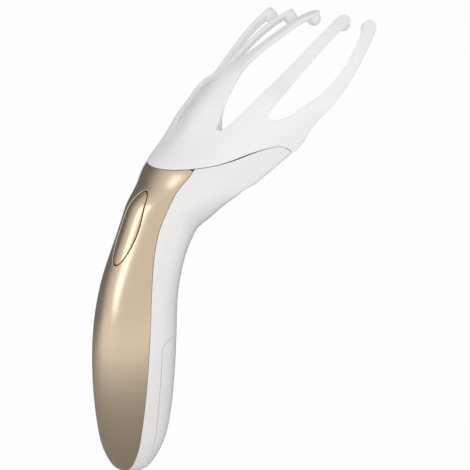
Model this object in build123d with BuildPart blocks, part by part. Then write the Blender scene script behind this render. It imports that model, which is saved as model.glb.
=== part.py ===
"""Battery scalp massager: a bowed handle in two shells with a lift-off battery door, a
cupped head with five fingers, an oval power button, and the vibration motor, circuit
board, cells and contacts inside. Millimetres, +Z up the handle, the head leans to +X and
the button faces -X. The origin is the middle of the hand grip, on the handle's axis."""
from build123d import *
from dataclasses import dataclass
from math import cos, radians, sin
import os

os.makedirs("parts", exist_ok=True)

# ---------------------------------------------------------------- driving dimensions
GRIP_HEIGHT = 60.0        # the origin, above the tip of the handle
WALL = 2.0                # moulded wall of both shells and of the battery door
SEAM_GAP = 0.1            # shadow line between pieces of the same body
MOVE_GAP = 0.3            # gap round the battery door, the catch and the button post
FIT_GAP = 0.2             # room round the pieces inside
RUN_GAP = 0.08            # running fit of shafts and plungers
TOOL = 90.0               # half size of the blocks that cut the body along its seams

# Cross-sections of the body from the tip of the handle to the palm: height above the tip,
# offset to the rear, lean to the rear in degrees, depth to the front, depth to the rear
# and half of the width.
BODY_SECTIONS = (
    (0.05, -2.9, 0.0, 1.1, 1.1, 1.1),
    (1.2, -2.8, 0.0, 5.2, 5.2, 5.3),
    (4.0, -2.5, 0.0, 9.3, 9.3, 9.5),
    (12.0, -1.9, 0.0, 13.8, 13.8, 14.2),
    (22.0, -1.2, 0.0, 16.6, 16.6, 17.1),
    (38.0, -0.8, 0.0, 18.7, 18.7, 19.2),
    (56.0, -0.3, 0.5, 19.6, 19.6, 20.1),
    (70.0, 0.6, 2.0, 19.5, 19.5, 20.0),
    (80.0, 1.7, 5.0, 18.9, 18.9, 19.4),
    (90.0, 3.7, 9.0, 18.1, 18.1, 18.7),
    (99.0, 6.7, 14.0, 17.3, 17.3, 18.1),
    (108.0, 10.3, 20.0, 16.6, 16.6, 17.8),
    (115.4, 13.5, 23.3, 16.5, 17.2, 17.9),
    (122.1, 17.3, 27.0, 16.6, 17.6, 18.9),
    (126.8, 24.5, 35.0, 17.8, 14.7, 23.1),
    (131.4, 31.1, 41.0, 19.9, 11.6, 27.8),
    (134.8, 38.8, 45.0, 22.8, 8.0, 31.0),
    (138.5, 46.2, 48.0, 25.3, 5.6, 32.6),
    (143.3, 54.0, 48.0, 28.5, 5.0, 33.8),
    (148.5, 61.4, 48.0, 30.9, 5.0, 35.5),
    (154.3, 69.7, 48.0, 32.2, 5.0, 36.9),
    (162.3, 78.6, 48.0, 32.4, 5.0, 38.6),
)
HOLLOW_FIRST, HOLLOW_LAST = 2, 14       # the sections that bound the hollow handle
LEAST_SECTION = 0.8       # the smallest half size of a section that is still drawn

# The palm and the fingers are laid out along the axis of the palm: distance along the
# axis, height of the arch (negative is outside) and distance from the middle plane.
PALM_LEAN = 48.0
PALM_OFFSET = -1.3

# Hollow of the palm: distance along the axis, height of its open side, depth, half width
SCOOP_SECTIONS = ((120.0, -65.0, 0.5, 14.0), (128.0, -65.4, 5.6, 25.0), (137.0, -64.5, 13.4, 28.8),
                  (146.0, -63.4, 25.0, 31.2), (156.0, -62.2, 31.6, 32.6), (168.0, -61.8, 32.4, 34.2),
                  (178.0, -61.8, 32.4, 35.4))
SCOOP_MARGIN = 6.0        # how far the hollow is cut beyond its open side

# Free edge of the palm between the fingers: distance along the axis and height
PALM_RIM = ((135.0, -110.0), (138.0, -95.0), (147.0, -90.5), (156.5, -83.0),
            (162.0, -75.0), (160.5, -67.0), (157.0, -50.0))
RIM_END = 200.0           # beyond the free edge nothing of the palm is left
FINGER_STATIONS = 11
FINGER_WIDTH = 6.8
TIP_WIDTH = 6.2
FINGER_THICKNESS = 4.0
ROOT_THICKNESS = 5.6
TAPER_START = 185.0       # the fingers thicken from here to their roots
TAPER_LENGTH = 50.0
TIP_TAPER_LENGTH = 35.0
ROOT_ROLL_END = 180.0     # from here on a finger keeps the roll of its end
ROOT_ROLL_LENGTH = 34.0
ROOT_ARCH = 0.11          # rise of a finger's section for each millimetre beyond its width
SECTION_ARCH = 0.06       # rise of the narrowest section
BEAD_RADIUS = 3.6         # round bead under the end of each finger
BEAD_DROP = 1.4           # centre of the bead under the middle of the finger

# Parting lines in the side view: offset to the rear and height above the tip
HEAD_SEAM = ((-30.0, 134.0), (17.0, 144.4), (36.5, 148.6), (56.0, 154.2), (63.0, 154.9))
HEAD_SEAM_END = ((70.6, 149.9), (92.0, 126.0))
HEAD_SEAM_ROUND = 9.0     # the parting line turns down to the rear with this radius
FRONT_SEAM = ((-8.2, -6.0), (-8.1, 19.0), (-6.8, 48.0), (-4.0, 81.8), (0.0, 104.8),
              (6.3, 122.7), (14.7, 136.1), (27.0, 150.0))
DOOR_SIDE = ((-0.9, -6.0), (-0.5, 20.0), (0.4, 47.0), (1.2, 61.0))
DOOR_TOP = ((3.0, 64.6), (7.6, 66.8), (13.0, 68.8), (32.0, 71.0))

# Corners of the cutting blocks, outside the body, that close the parting lines
HEAD_CORNERS = ((150.0, 126.0), (150.0, 240.0), (-30.0, 240.0))
FRONT_CORNERS = ((-90.0, 150.0), (-90.0, -6.0))
REAR_CORNERS = ((27.0, 175.0), (90.0, 175.0), (90.0, -6.0))
DOOR_CORNERS = ((60.0, 71.0), (60.0, -6.0))

# Power button and the circuit board behind it, in the button's own plane: depths are
# below the front of the body and places along the handle are from the button's middle
BUTTON_CENTRE = (-2.6, 118.3)
BUTTON_LEAN = 28.5
BUTTON_LENGTH = 37.6
BUTTON_WIDTH = 12.8
BUTTON_GAP = 0.4
BUTTON_PROUD = 0.3
BUTTON_SKIN = 1.0
BUTTON_TRAVEL = 0.6
POST_RADIUS = 1.5
MEMBRANE = 0.7
MEMBRANE_MARGIN = 1.2
PLUNGER_RADIUS = 1.7
PLUNGER_REACH = 1.4       # length of the plunger inside the switch
PLUNGER_TOP = 4.6
SWITCH_TOP = 5.6
SWITCH_SIZE = 6.0
SWITCH_ROUND = 0.5
SWITCH_ALONG = 0.0
BOARD_TOP = 8.8
BOARD_THICKNESS = 1.2
BOARD_LENGTH = 38.0
BOARD_WIDTH = 23.6
BOARD_ALONG = -2.0
BOARD_POST_MARGIN = 2.0   # from the edges of the board to the middle of its posts
BOARD_POST_RADIUS = 1.7
BOARD_SCREW_RADIUS = 0.8
BOARD_SCREW_LENGTH = 5.0
CHIP = (7.0, 5.0, 1.4)
CHIP_ALONG = -13.0
CAPACITOR_RADIUS = 2.0
CAPACITOR_HEIGHT = 2.4
CAPACITOR_PLACE = (11.0, 6.5)

# Vibration motor, behind the board and in line with it
MOTOR_RADIUS = 6.0
MOTOR_LENGTH = 17.0
MOTOR_ROUND = 0.6
MOTOR_DEPTH = 20.0
MOTOR_BASE = -9.0
SLEEVE_WALL = 1.2
SLEEVE_LENGTH = 12.0
SLEEVE_BASE = -8.0
SHAFT_RADIUS = 0.75
SHAFT_LENGTH = 9.0
WEIGHT_RADIUS = 5.2
WEIGHT_LENGTH = 5.5
WEIGHT_HUB = 1.9
WEIGHT_AT = 2.0           # from the end of the motor to the weight
CRADLE_LENGTH = 10.0
CRADLE_BASE = -7.0
CLAMP_WALL = 1.0
CLAMP_EAR = 2.6

# Battery bay for two cells, side by side; it faces the door at the rear
CELL_RADIUS = 5.25
CELL_LENGTH = 43.5
CELL_ROUND = 0.5
NUB_RADIUS = 1.9
NUB_LENGTH = 1.0
CELL_SPACING = 11.4
CELL_BASE = 15.8          # lower end of the cells above the tip
BAY_WALL = 1.5
BAY_FLOOR = 1.8
BAY_FLOOR_AT = -4.8       # front face of the bay floor
CONTACT_ROOM = 2.4        # between the cells and the end walls of the bay
CONTACT = 0.4             # thickness of the contact strip
CONTACT_SIZE = 8.0
CONTACT_ARCH = 4.0        # width of the sprung arch of each contact
LUG_LENGTH = 8.0
CASE_SCREW_RADIUS = 1.25
CASE_SCREW_LENGTH = 7.0
CASE_BOSS_RADIUS = 3.2
SCREW_HEAD_RADIUS = 2.2
SCREW_HEAD_HEIGHT = 1.3
DOOR_RIB = 1.2            # ribs inside the door that keep the cells in place
DOOR_RIB_PITCH = 14.0
DOOR_RIB_COUNT = 3
DOOR_RIB_CLEAR = 0.8

# Ribbed catch above the battery door
CATCH_CENTRE = (20.9, 82.0)
CATCH_LEAN = 7.0
CATCH_WIDTH = 14.0
CATCH_LENGTH = 5.6
CATCH_TRAVEL = 2.0
CATCH_SKIN = 1.1
RIB_COUNT = 3
RIB_PITCH = 1.7
RIB_WIDTH = 0.8
RIB_HEIGHT = 0.5
STEM_LENGTH = 2.6
TONGUE_WIDTH = 6.0
TONGUE_LENGTH = 9.4
TONGUE_DEPTH = 2.6
TONGUE_THICKNESS = 1.2

# Plug that joins the head to the handle, and its screws
PLUG_END = 127.0
PLUG_ARCH = -88.0
PLUG_DEPTH = 5.4
PLUG_WIDTH = 15.0
PLUG_SEAT = 0.5           # the head end of the plug stands back by this much
HEAD_SCREW_SPACING = 17.0
HEAD_SCREW_START = 106.0
HEAD_SCREW_LENGTH = 27.0
HEAD_SCREW_RADIUS = 1.25


# ---------------------------------------------------------------- planes and shared forms
def leaning_plane(offset, height, lean, side=0.0):
    """Plane square to a line that leans to the rear; its local x points to the rear."""
    angle = radians(lean)
    return Plane(origin=(offset, side, height - GRIP_HEIGHT),
                 x_dir=(cos(angle), 0, -sin(angle)), z_dir=(sin(angle), 0, cos(angle)))


def palm_point(along, arch, side=0.0):
    """A point given along the palm's axis, in the frame of the part."""
    angle = radians(PALM_LEAN)
    return Vector(along * sin(angle) + arch * cos(angle) + PALM_OFFSET, side,
                  along * cos(angle) - arch * sin(angle) - GRIP_HEIGHT)


def side_view(points):
    """Offsets and heights above the tip as points of the side view sketch plane."""
    return [(offset, height - GRIP_HEIGHT) for offset, height in points]


def oval(front, rear, width):
    """Closed outline of two half ellipses that share their width."""
    with BuildSketch() as outline:
        with BuildLine():
            EllipticalCenterArc((0, 0), front, width, start_angle=90, arc_size=180)
            EllipticalCenterArc((0, 0), rear, width, start_angle=270, arc_size=180)
        make_face()
    return outline.sketch


def body_form(inset=0.0, first=0, last=len(BODY_SECTIONS) - 1):
    """The outside of the body, drawn in by the inset, between two of its sections.
    Sections at the tip that are too small to be drawn in are left out."""
    with BuildPart() as form:
        for height, offset, lean, front, rear, width in BODY_SECTIONS[first:last + 1]:
            if min(front, rear, width) - inset > LEAST_SECTION:
                with BuildSketch(leaning_plane(offset, height, lean)):
                    add(oval(front - inset, rear - inset, width - inset))
        loft()
    return form.part


def side_prism(curve, corners):
    """Block across the body whose side view is bounded by a curve and corner points."""
    with BuildPart() as prism:
        with BuildSketch(Plane.XZ):
            with BuildLine():
                Spline(*side_view(curve))
                Polyline(*side_view((curve[-1],) + corners + (curve[0],)))
            make_face()
        extrude(amount=TOOL, both=True)
    return prism.part


def shifted(points, offset=0.0, height=0.0):
    """The same points moved to the rear and upwards."""
    return tuple((x + offset, z + height) for x, z in points)


def head_region(clearance=0.0):
    """Everything above the parting line between the handle and the head."""
    seam = shifted(HEAD_SEAM, height=clearance)
    end = shifted(HEAD_SEAM_END, offset=clearance)
    with BuildPart() as region:
        with BuildSketch(Plane.XZ):
            with BuildLine():
                Spline(*side_view(seam))
                tip = RadiusArc(side_view(seam)[-1], side_view(end)[0], HEAD_SEAM_ROUND)
                Polyline(tip @ 1, *side_view(end[1:]), *side_view(HEAD_CORNERS), side_view(seam)[0])
            make_face()
        extrude(amount=TOOL, both=True)
    return region.part


def door_region(clearance=0.0):
    """Everything behind the side edges and under the top edge of the battery door."""
    side = shifted(DOOR_SIDE, offset=clearance)
    top = shifted(DOOR_TOP, offset=clearance, height=-clearance)
    with BuildPart() as region:
        with BuildSketch(Plane.XZ):
            with BuildLine():
                edge = Spline(*side_view(side))
                lip = Spline(*side_view(top))
                TangentArc(edge @ 1, lip @ 0, tangent=edge % 1)
                Polyline(lip @ 1, *side_view(DOOR_CORNERS), edge @ 0)
            make_face()
        extrude(amount=TOOL, both=True)
    return region.part


def button_plane(depth=0.0, along=0.0, side=0.0):
    """Plane of the button, at a depth below the front of the body, facing outwards."""
    angle = radians(BUTTON_LEAN)
    middle = side_view((BUTTON_CENTRE,))[0]
    outward = Vector(-cos(angle), 0, sin(angle))
    upward = Vector(sin(angle), 0, cos(angle))
    origin = Vector(middle[0], side, middle[1]) - outward * depth + upward * along
    return Plane(origin=origin, x_dir=upward, z_dir=outward)


# ---------------------------------------------------------------- the body and its hollows
body = body_form()
hollow = body_form(WALL, HOLLOW_FIRST, HOLLOW_LAST)


def plug_form(clearance=0.0, setback=0.0):
    """The plug between the hollow of the handle and the head, drawn in by a clearance."""
    height, offset, lean, front, rear, width = BODY_SECTIONS[HOLLOW_LAST]
    inset = WALL + clearance
    end = palm_point(PLUG_END - setback, PLUG_ARCH)
    with BuildPart() as form:
        with BuildSketch(leaning_plane(offset, height, lean)):
            add(oval(front - inset, rear - inset, width - inset))
        with BuildSketch(leaning_plane(end.X, end.Z + GRIP_HEIGHT, PALM_LEAN)):
            add(oval(PLUG_DEPTH - clearance, PLUG_DEPTH - clearance, PLUG_WIDTH - clearance))
        loft()
    return form.part


plug_room = plug_form()

with BuildPart() as head_screws:
    for side in (-1, 1):
        start = palm_point(HEAD_SCREW_START, PLUG_ARCH, side * HEAD_SCREW_SPACING / 2)
        screw_plane = leaning_plane(start.X, start.Z + GRIP_HEIGHT, PALM_LEAN, start.Y)
        with BuildSketch(screw_plane):
            Circle(HEAD_SCREW_RADIUS)
        extrude(amount=HEAD_SCREW_LENGTH)
        with BuildSketch(screw_plane):
            Circle(SCREW_HEAD_RADIUS)
        extrude(amount=SCREW_HEAD_HEIGHT)

with BuildPart() as scoop:
    for along, back, depth, width in SCOOP_SECTIONS:
        middle = palm_point(along, back)
        with BuildSketch(leaning_plane(middle.X, middle.Z + GRIP_HEIGHT, PALM_LEAN)):
            add(oval(depth, SCOOP_MARGIN, width))
    loft()

with BuildPart() as palm_rim:
    with BuildSketch(Plane.XZ):
        with BuildLine():
            rim_points = [palm_point(along, arch) for along, arch in PALM_RIM]
            rim = Spline(*[(point.X, point.Z) for point in rim_points[1:]])
            beyond = [palm_point(RIM_END, PALM_RIM[-1][1]), palm_point(RIM_END, PALM_RIM[0][1])]
            Polyline(rim @ 1, *[(point.X, point.Z) for point in beyond],
                     (rim_points[0].X, rim_points[0].Z), rim @ 0)
        make_face()
    extrude(amount=TOOL, both=True)


# ---------------------------------------------------------------- fingers
@dataclass(frozen=True)
class Finger:
    """Middle line of one finger and how it spreads into the palm."""
    line: tuple
    roll: float
    root_roll: float
    spread: float
    spread_from: float
    spread_to: float
    power: float
    root_limit: float


MIDDLE_FINGER = Finger(((128.0, -93.4, 0.0), (146.0, -96.4, 0.0), (160.0, -96.6, 0.0),
                        (176.0, -95.7, 0.0), (203.0, -90.2, 0.0), (226.5, -80.5, 0.0)),
                       0.0, 0.0, 18.8, 185.0, 147.0, 1.15, 29.0)
INNER_FINGER = Finger(((128.0, -86.6, 20.4), (142.0, -86.9, 23.0), (156.0, -87.2, 24.7),
                       (176.0, -86.1, 23.5), (203.0, -83.6, 23.2), (226.0, -77.5, 20.4)),
                      36.0, 43.0, 6.5, 195.0, 147.0, 1.3, 15.0)
OUTER_FINGER = Finger(((136.0, -75.6, 30.4), (146.0, -74.8, 32.2), (157.0, -73.6, 34.2),
                       (176.0, -73.2, 40.4), (203.0, -73.3, 42.3), (225.6, -73.3, 36.2)),
                      62.0, 82.0, 6.5, 190.0, 166.0, 1.5, 16.0)


def along_palm(point):
    """How far a point lies along the palm's axis."""
    angle = radians(PALM_LEAN)
    return (point.X - PALM_OFFSET) * sin(angle) + (point.Z + GRIP_HEIGHT) * cos(angle)


def root_share(point, start, length):
    """0 from the start of a change on towards the tip, 1 a length nearer the root."""
    return min(1.0, max(0.0, (start - along_palm(point)) / length))


def finger_planes(finger, side):
    """The middle line of a finger with the planes square to it, from root to tip."""
    points = [palm_point(along, arch, side * off) for along, arch, off in finger.line]
    line = Edge.make_spline(points)
    lean = radians(PALM_LEAN)
    planes = []
    for index in range(FINGER_STATIONS):
        share = index / (FINGER_STATIONS - 1)
        rooted = root_share(line.position_at(share), ROOT_ROLL_END, ROOT_ROLL_LENGTH)
        roll = radians(finger.roll + (finger.root_roll - finger.roll) * rooted)
        outward = Vector(-cos(lean) * cos(roll), side * sin(roll), sin(lean) * cos(roll))
        tangent = line.tangent_at(share)
        across = tangent.cross(outward)
        planes.append(Plane(origin=line.position_at(share), x_dir=across, z_dir=tangent))
    return planes


def finger_size(finger, plane):
    """Width and thickness of a finger where the plane crosses it."""
    along = along_palm(plane.origin)
    reach = max(0.0, (finger.spread_from - along) / (finger.spread_from - finger.spread_to))
    taper = min(1.0, max(0.0, (along - finger.spread_from) / TIP_TAPER_LENGTH))
    width = FINGER_WIDTH + finger.spread * reach ** finger.power - (FINGER_WIDTH - TIP_WIDTH) * taper
    thicker = root_share(plane.origin, TAPER_START, TAPER_LENGTH)
    thickness = FINGER_THICKNESS + (ROOT_THICKNESS - FINGER_THICKNESS) * thicker
    return min(width, finger.root_limit), thickness


def strip(width, thickness):
    """Arched section of a finger with round edges; its hollow side faces +y."""
    half = (width - thickness) / 2
    rise = SECTION_ARCH + ROOT_ARCH * max(0.0, width - FINGER_WIDTH)
    edge = thickness / 2
    with BuildSketch() as section:
        with BuildLine():
            outer = ThreePointArc((-half, rise - edge), (0, -edge), (half, rise - edge))
            right = ThreePointArc(outer @ 1, (half + edge, rise), (half, rise + edge))
            inner = ThreePointArc(right @ 1, (0, edge), (-half, rise + edge))
            ThreePointArc(inner @ 1, (-half - edge, rise), outer @ 0)
        make_face()
    return section.sketch


def finger_form(finger, side):
    """One finger from inside the palm to its end."""
    with BuildPart() as form:
        for plane in finger_planes(finger, side):
            with BuildSketch(plane):
                add(strip(*finger_size(finger, plane)))
        loft()
    return form.part


def bead_centre(finger, side):
    """Middle of the round bead under the end of a finger."""
    end = finger_planes(finger, side)[-1]
    return end.from_local_coords(Vector(0, BEAD_DROP, 0))


FINGERS = (("1", OUTER_FINGER, -1), ("2", INNER_FINGER, -1), ("3", MIDDLE_FINGER, 1),
           ("4", INNER_FINGER, 1), ("5", OUTER_FINGER, 1))


def finish(piece, name):
    """Label a finished piece and write its file."""
    piece.label = name
    export_step(piece, f"parts/{name}.step")


# ---------------------------------------------------------------- head
beads = {}
for name, finger, side in FINGERS:
    with BuildPart() as bead:
        with Locations(bead_centre(finger, side)):
            Sphere(BEAD_RADIUS)
    beads[name] = bead.part
    finish(bead.part, f"finger_bead_{name}")

with BuildPart() as claw_head:
    add(body)
    add(scoop.part, mode=Mode.SUBTRACT)
    add(palm_rim.part, mode=Mode.SUBTRACT)
    for name, finger, side in FINGERS:
        add(finger_form(finger, side))
    for bead_form in beads.values():
        add(bead_form, mode=Mode.SUBTRACT)
    add(head_region(SEAM_GAP), mode=Mode.INTERSECT)
    add(plug_room, mode=Mode.SUBTRACT)
    add(head_screws.part, mode=Mode.SUBTRACT)
finish(claw_head.part, "claw_head")
finish(head_screws.part, "head_screws")

with BuildPart() as head_plug:
    add(plug_form(FIT_GAP, PLUG_SEAT))
    add(head_screws.part, mode=Mode.SUBTRACT)
finish(head_plug.part, "head_plug")

# ---------------------------------------------------------------- handle shells
under_skin = body_form(WALL / 2)
bay_room = body_form(WALL + MOVE_GAP, HOLLOW_FIRST, HOLLOW_LAST)
front_side = side_prism(shifted(FRONT_SEAM, offset=-SEAM_GAP), FRONT_CORNERS)
rear_side = side_prism(FRONT_SEAM, REAR_CORNERS)

cell_top = CELL_BASE + CELL_LENGTH + NUB_LENGTH
bay_bottom = CELL_BASE - CONTACT_ROOM
bay_top = cell_top + CONTACT_ROOM
cell_offset = BAY_FLOOR_AT + BAY_FLOOR + FIT_GAP + CELL_RADIUS
screw_heights = (bay_bottom - BAY_WALL - LUG_LENGTH / 2, bay_top + BAY_WALL + LUG_LENGTH / 2)
screw_points = [(0, height - GRIP_HEIGHT) for height in screw_heights]
board_posts = [(BOARD_ALONG + end * (BOARD_LENGTH / 2 - BOARD_POST_MARGIN),
                side * (BOARD_WIDTH / 2 - BOARD_POST_MARGIN)) for end in (-1, 1) for side in (-1, 1)]

with BuildPart() as shell_bosses:
    with BuildSketch(button_plane(BOARD_TOP)):
        with Locations(*board_posts):
            Circle(BOARD_POST_RADIUS)
    extrude(amount=BOARD_TOP * 2)
    with BuildSketch(Plane.YZ.offset(BAY_FLOOR_AT - SEAM_GAP)):
        with Locations(*screw_points):
            Circle(CASE_BOSS_RADIUS)
    extrude(amount=-TOOL)
    add(under_skin, mode=Mode.INTERSECT)

with BuildPart() as front_shell:
    add(body)
    add(hollow, mode=Mode.SUBTRACT)
    add(plug_room, mode=Mode.SUBTRACT)
    add(head_region(), mode=Mode.SUBTRACT)
    add(front_side, mode=Mode.INTERSECT)
    add(shell_bosses.part)
    with BuildSketch(button_plane(WALL * 2)):
        Ellipse(BUTTON_LENGTH / 2 + BUTTON_GAP, BUTTON_WIDTH / 2 + BUTTON_GAP)
    extrude(amount=WALL * 4, mode=Mode.SUBTRACT)
    with BuildSketch(button_plane(BOARD_TOP)):
        with Locations(*board_posts):
            Circle(BOARD_SCREW_RADIUS)
    extrude(amount=BOARD_SCREW_LENGTH, mode=Mode.SUBTRACT)
    with BuildSketch(Plane.YZ.offset(BAY_FLOOR_AT)):
        with Locations(*screw_points):
            Circle(CASE_SCREW_RADIUS)
    extrude(amount=-CASE_SCREW_LENGTH, mode=Mode.SUBTRACT)
finish(front_shell.part, "front_shell")

with BuildPart() as bay_floor:
    with BuildSketch(Plane.YZ.offset(BAY_FLOOR_AT)):
        with Locations((0, sum(screw_heights) / 2 - GRIP_HEIGHT)):
            Rectangle(TOOL, screw_heights[1] - screw_heights[0] + LUG_LENGTH)
    extrude(amount=BAY_FLOOR)
    add(under_skin, mode=Mode.INTERSECT)

with BuildPart() as bay_cradle:
    with BuildSketch(Plane.XY.offset(bay_bottom - BAY_WALL - GRIP_HEIGHT)):
        with Locations((BAY_FLOOR_AT + BAY_FLOOR, 0)):
            Rectangle(CELL_RADIUS * 1.5, CELL_SPACING + CELL_RADIUS * 2, align=(Align.MIN, Align.CENTER))
    extrude(amount=bay_top - bay_bottom + BAY_WALL * 2)
    with BuildSketch(Plane.XY.offset(bay_bottom - GRIP_HEIGHT)):
        with Locations((cell_offset, -CELL_SPACING / 2), (cell_offset, CELL_SPACING / 2)):
            Circle(CELL_RADIUS + FIT_GAP)
        with Locations((cell_offset, 0)):
            Rectangle(TOOL, CELL_SPACING + CELL_RADIUS, align=(Align.MIN, Align.CENTER))
    extrude(amount=bay_top - bay_bottom, mode=Mode.SUBTRACT)
    with BuildSketch(*[Plane.XY.offset(height - GRIP_HEIGHT) for height in (bay_bottom, cell_top)]):
        with Locations((cell_offset, 0)):
            Rectangle(CONTACT_SIZE + FIT_GAP * 2, CELL_SPACING + CONTACT_SIZE + FIT_GAP * 2)
    extrude(amount=CONTACT_ROOM, mode=Mode.SUBTRACT)
    add(bay_room, mode=Mode.INTERSECT)


def catch_plane(depth=0.0, along=0.0):
    """Plane of the catch, at a depth below the rear of the body, facing the rear."""
    angle = radians(CATCH_LEAN)
    middle = side_view((CATCH_CENTRE,))[0]
    outward = Vector(cos(angle), 0, -sin(angle))
    upward = Vector(sin(angle), 0, cos(angle))
    return Plane(origin=Vector(middle[0], 0, middle[1]) - outward * depth + upward * along,
                 x_dir=upward, z_dir=outward)


catch_floor = body_form(CATCH_SKIN + MOVE_GAP)
with BuildPart() as catch_recess:
    with BuildSketch(catch_plane(WALL * 2, CATCH_TRAVEL / 2)):
        Rectangle(CATCH_LENGTH + CATCH_TRAVEL + MOVE_GAP * 2, CATCH_WIDTH + MOVE_GAP * 2)
    extrude(amount=WALL * 4)
    add(catch_floor, mode=Mode.SUBTRACT)

with BuildPart() as rear_shell:
    add(body)
    add(hollow, mode=Mode.SUBTRACT)
    add(plug_room, mode=Mode.SUBTRACT)
    add(scoop.part, mode=Mode.SUBTRACT)
    add(head_region(), mode=Mode.SUBTRACT)
    add(rear_side, mode=Mode.INTERSECT)
    add(door_region(), mode=Mode.SUBTRACT)
    add(bay_floor.part)
    add(bay_cradle.part)
    add(catch_recess.part, mode=Mode.SUBTRACT)
    with BuildSketch(catch_plane(WALL * 2, CATCH_TRAVEL / 2)):
        Rectangle(STEM_LENGTH + CATCH_TRAVEL + MOVE_GAP * 2, TONGUE_WIDTH + MOVE_GAP * 2)
    extrude(amount=WALL * 4, mode=Mode.SUBTRACT)
    with BuildSketch(Plane.YZ.offset(BAY_FLOOR_AT)):
        with Locations(*screw_points):
            Circle(CASE_SCREW_RADIUS + FIT_GAP)
    extrude(amount=BAY_FLOOR, mode=Mode.SUBTRACT)
finish(rear_shell.part, "rear_shell")

with BuildPart() as door_ribs:
    rib_start = (cell_top + CELL_BASE - (DOOR_RIB_COUNT - 1) * DOOR_RIB_PITCH) / 2 - GRIP_HEIGHT
    for index in range(DOOR_RIB_COUNT):
        with BuildSketch(Plane.XY.offset(rib_start + index * DOOR_RIB_PITCH)):
            with Locations((cell_offset + CELL_RADIUS + DOOR_RIB_CLEAR, 0)):
                Rectangle(TOOL, CELL_SPACING + CELL_RADIUS, align=(Align.MIN, Align.CENTER))
        extrude(amount=DOOR_RIB)
    add(under_skin, mode=Mode.INTERSECT)

with BuildPart() as battery_door:
    add(body)
    add(hollow, mode=Mode.SUBTRACT)
    add(door_region(MOVE_GAP), mode=Mode.INTERSECT)
    add(door_ribs.part)
finish(battery_door.part, "battery_door")

with BuildPart() as catch_ribs:
    with BuildSketch(catch_plane(WALL * 2)):
        with GridLocations(RIB_PITCH, 0, RIB_COUNT, 1):
            Rectangle(RIB_WIDTH, CATCH_WIDTH - RIB_PITCH)
    extrude(amount=WALL * 4)
    add(body_form(-RIB_HEIGHT), mode=Mode.INTERSECT)

with BuildPart() as door_catch:
    with BuildSketch(catch_plane(WALL * 2)):
        Rectangle(CATCH_LENGTH, CATCH_WIDTH)
    extrude(amount=WALL * 4)
    add(body, mode=Mode.INTERSECT)
    add(catch_ribs.part)
    add(body_form(CATCH_SKIN), mode=Mode.SUBTRACT)
    with BuildSketch(catch_plane(CATCH_SKIN / 2)):
        Rectangle(STEM_LENGTH, TONGUE_WIDTH)
    extrude(amount=-(TONGUE_DEPTH + TONGUE_THICKNESS - CATCH_SKIN / 2))
    with BuildSketch(catch_plane(TONGUE_DEPTH)):
        with Locations((STEM_LENGTH / 2, 0)):
            Rectangle(TONGUE_LENGTH + STEM_LENGTH, TONGUE_WIDTH, align=(Align.MAX, Align.CENTER))
    extrude(amount=-TONGUE_THICKNESS)
finish(door_catch.part, "door_catch")

# ---------------------------------------------------------------- power button and switch
with BuildPart() as button_post:
    with BuildSketch(button_plane(PLUNGER_TOP, SWITCH_ALONG)):
        Circle(POST_RADIUS)
    extrude(amount=PLUNGER_TOP - BUTTON_SKIN / 2)

with BuildPart() as power_button:
    with BuildSketch(button_plane(WALL * 2)):
        Ellipse(BUTTON_LENGTH / 2, BUTTON_WIDTH / 2)
    extrude(amount=WALL * 4)
    add(body_form(-BUTTON_PROUD), mode=Mode.INTERSECT)
    add(body_form(BUTTON_SKIN), mode=Mode.SUBTRACT)
    add(button_post.part)
finish(power_button.part, "power_button")

with BuildPart() as button_membrane:
    with BuildSketch(button_plane(WALL * 4)):
        margin = BUTTON_GAP + MEMBRANE_MARGIN
        Ellipse(BUTTON_LENGTH / 2 + margin, BUTTON_WIDTH / 2 + margin)
        with Locations((SWITCH_ALONG, 0)):
            Circle(POST_RADIUS + MOVE_GAP, mode=Mode.SUBTRACT)
    extrude(amount=WALL * 5)
    add(body_form(WALL + RUN_GAP, HOLLOW_FIRST, HOLLOW_LAST), mode=Mode.INTERSECT)
    add(body_form(WALL + RUN_GAP + MEMBRANE, HOLLOW_FIRST, HOLLOW_LAST), mode=Mode.SUBTRACT)
finish(button_membrane.part, "button_membrane")

with BuildPart() as circuit_board:
    with BuildSketch(button_plane(BOARD_TOP, BOARD_ALONG)):
        Rectangle(BOARD_LENGTH, BOARD_WIDTH)
        with GridLocations(BOARD_LENGTH - BOARD_POST_MARGIN * 2, BOARD_WIDTH - BOARD_POST_MARGIN * 2, 2, 2):
            Circle(BOARD_SCREW_RADIUS + FIT_GAP, mode=Mode.SUBTRACT)
    extrude(amount=-BOARD_THICKNESS)
    with BuildSketch(button_plane(BOARD_TOP, CHIP_ALONG)):
        Rectangle(CHIP[0], CHIP[1])
    extrude(amount=CHIP[2])
    with BuildSketch(button_plane(BOARD_TOP, CAPACITOR_PLACE[0], CAPACITOR_PLACE[1])):
        Circle(CAPACITOR_RADIUS)
    extrude(amount=CAPACITOR_HEIGHT)
finish(circuit_board.part, "circuit_board")

with BuildPart() as board_screws:
    with BuildSketch(button_plane(BOARD_TOP + BOARD_THICKNESS)):
        with Locations(*board_posts):
            Circle(BOARD_SCREW_RADIUS)
    extrude(amount=BOARD_SCREW_LENGTH)
    with BuildSketch(button_plane(BOARD_TOP + BOARD_THICKNESS)):
        with Locations(*board_posts):
            Circle(BOARD_SCREW_RADIUS * 2)
    extrude(amount=-BOARD_SCREW_RADIUS)
finish(board_screws.part, "board_screws")

with BuildPart() as switch_body:
    with BuildSketch(button_plane(BOARD_TOP, SWITCH_ALONG)):
        RectangleRounded(SWITCH_SIZE, SWITCH_SIZE, SWITCH_ROUND)
    extrude(amount=BOARD_TOP - SWITCH_TOP)
    with BuildSketch(button_plane(SWITCH_TOP, SWITCH_ALONG)):
        Circle(PLUNGER_RADIUS + RUN_GAP)
    extrude(amount=-(PLUNGER_REACH + BUTTON_TRAVEL + MOVE_GAP), mode=Mode.SUBTRACT)
finish(switch_body.part, "switch_body")

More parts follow.
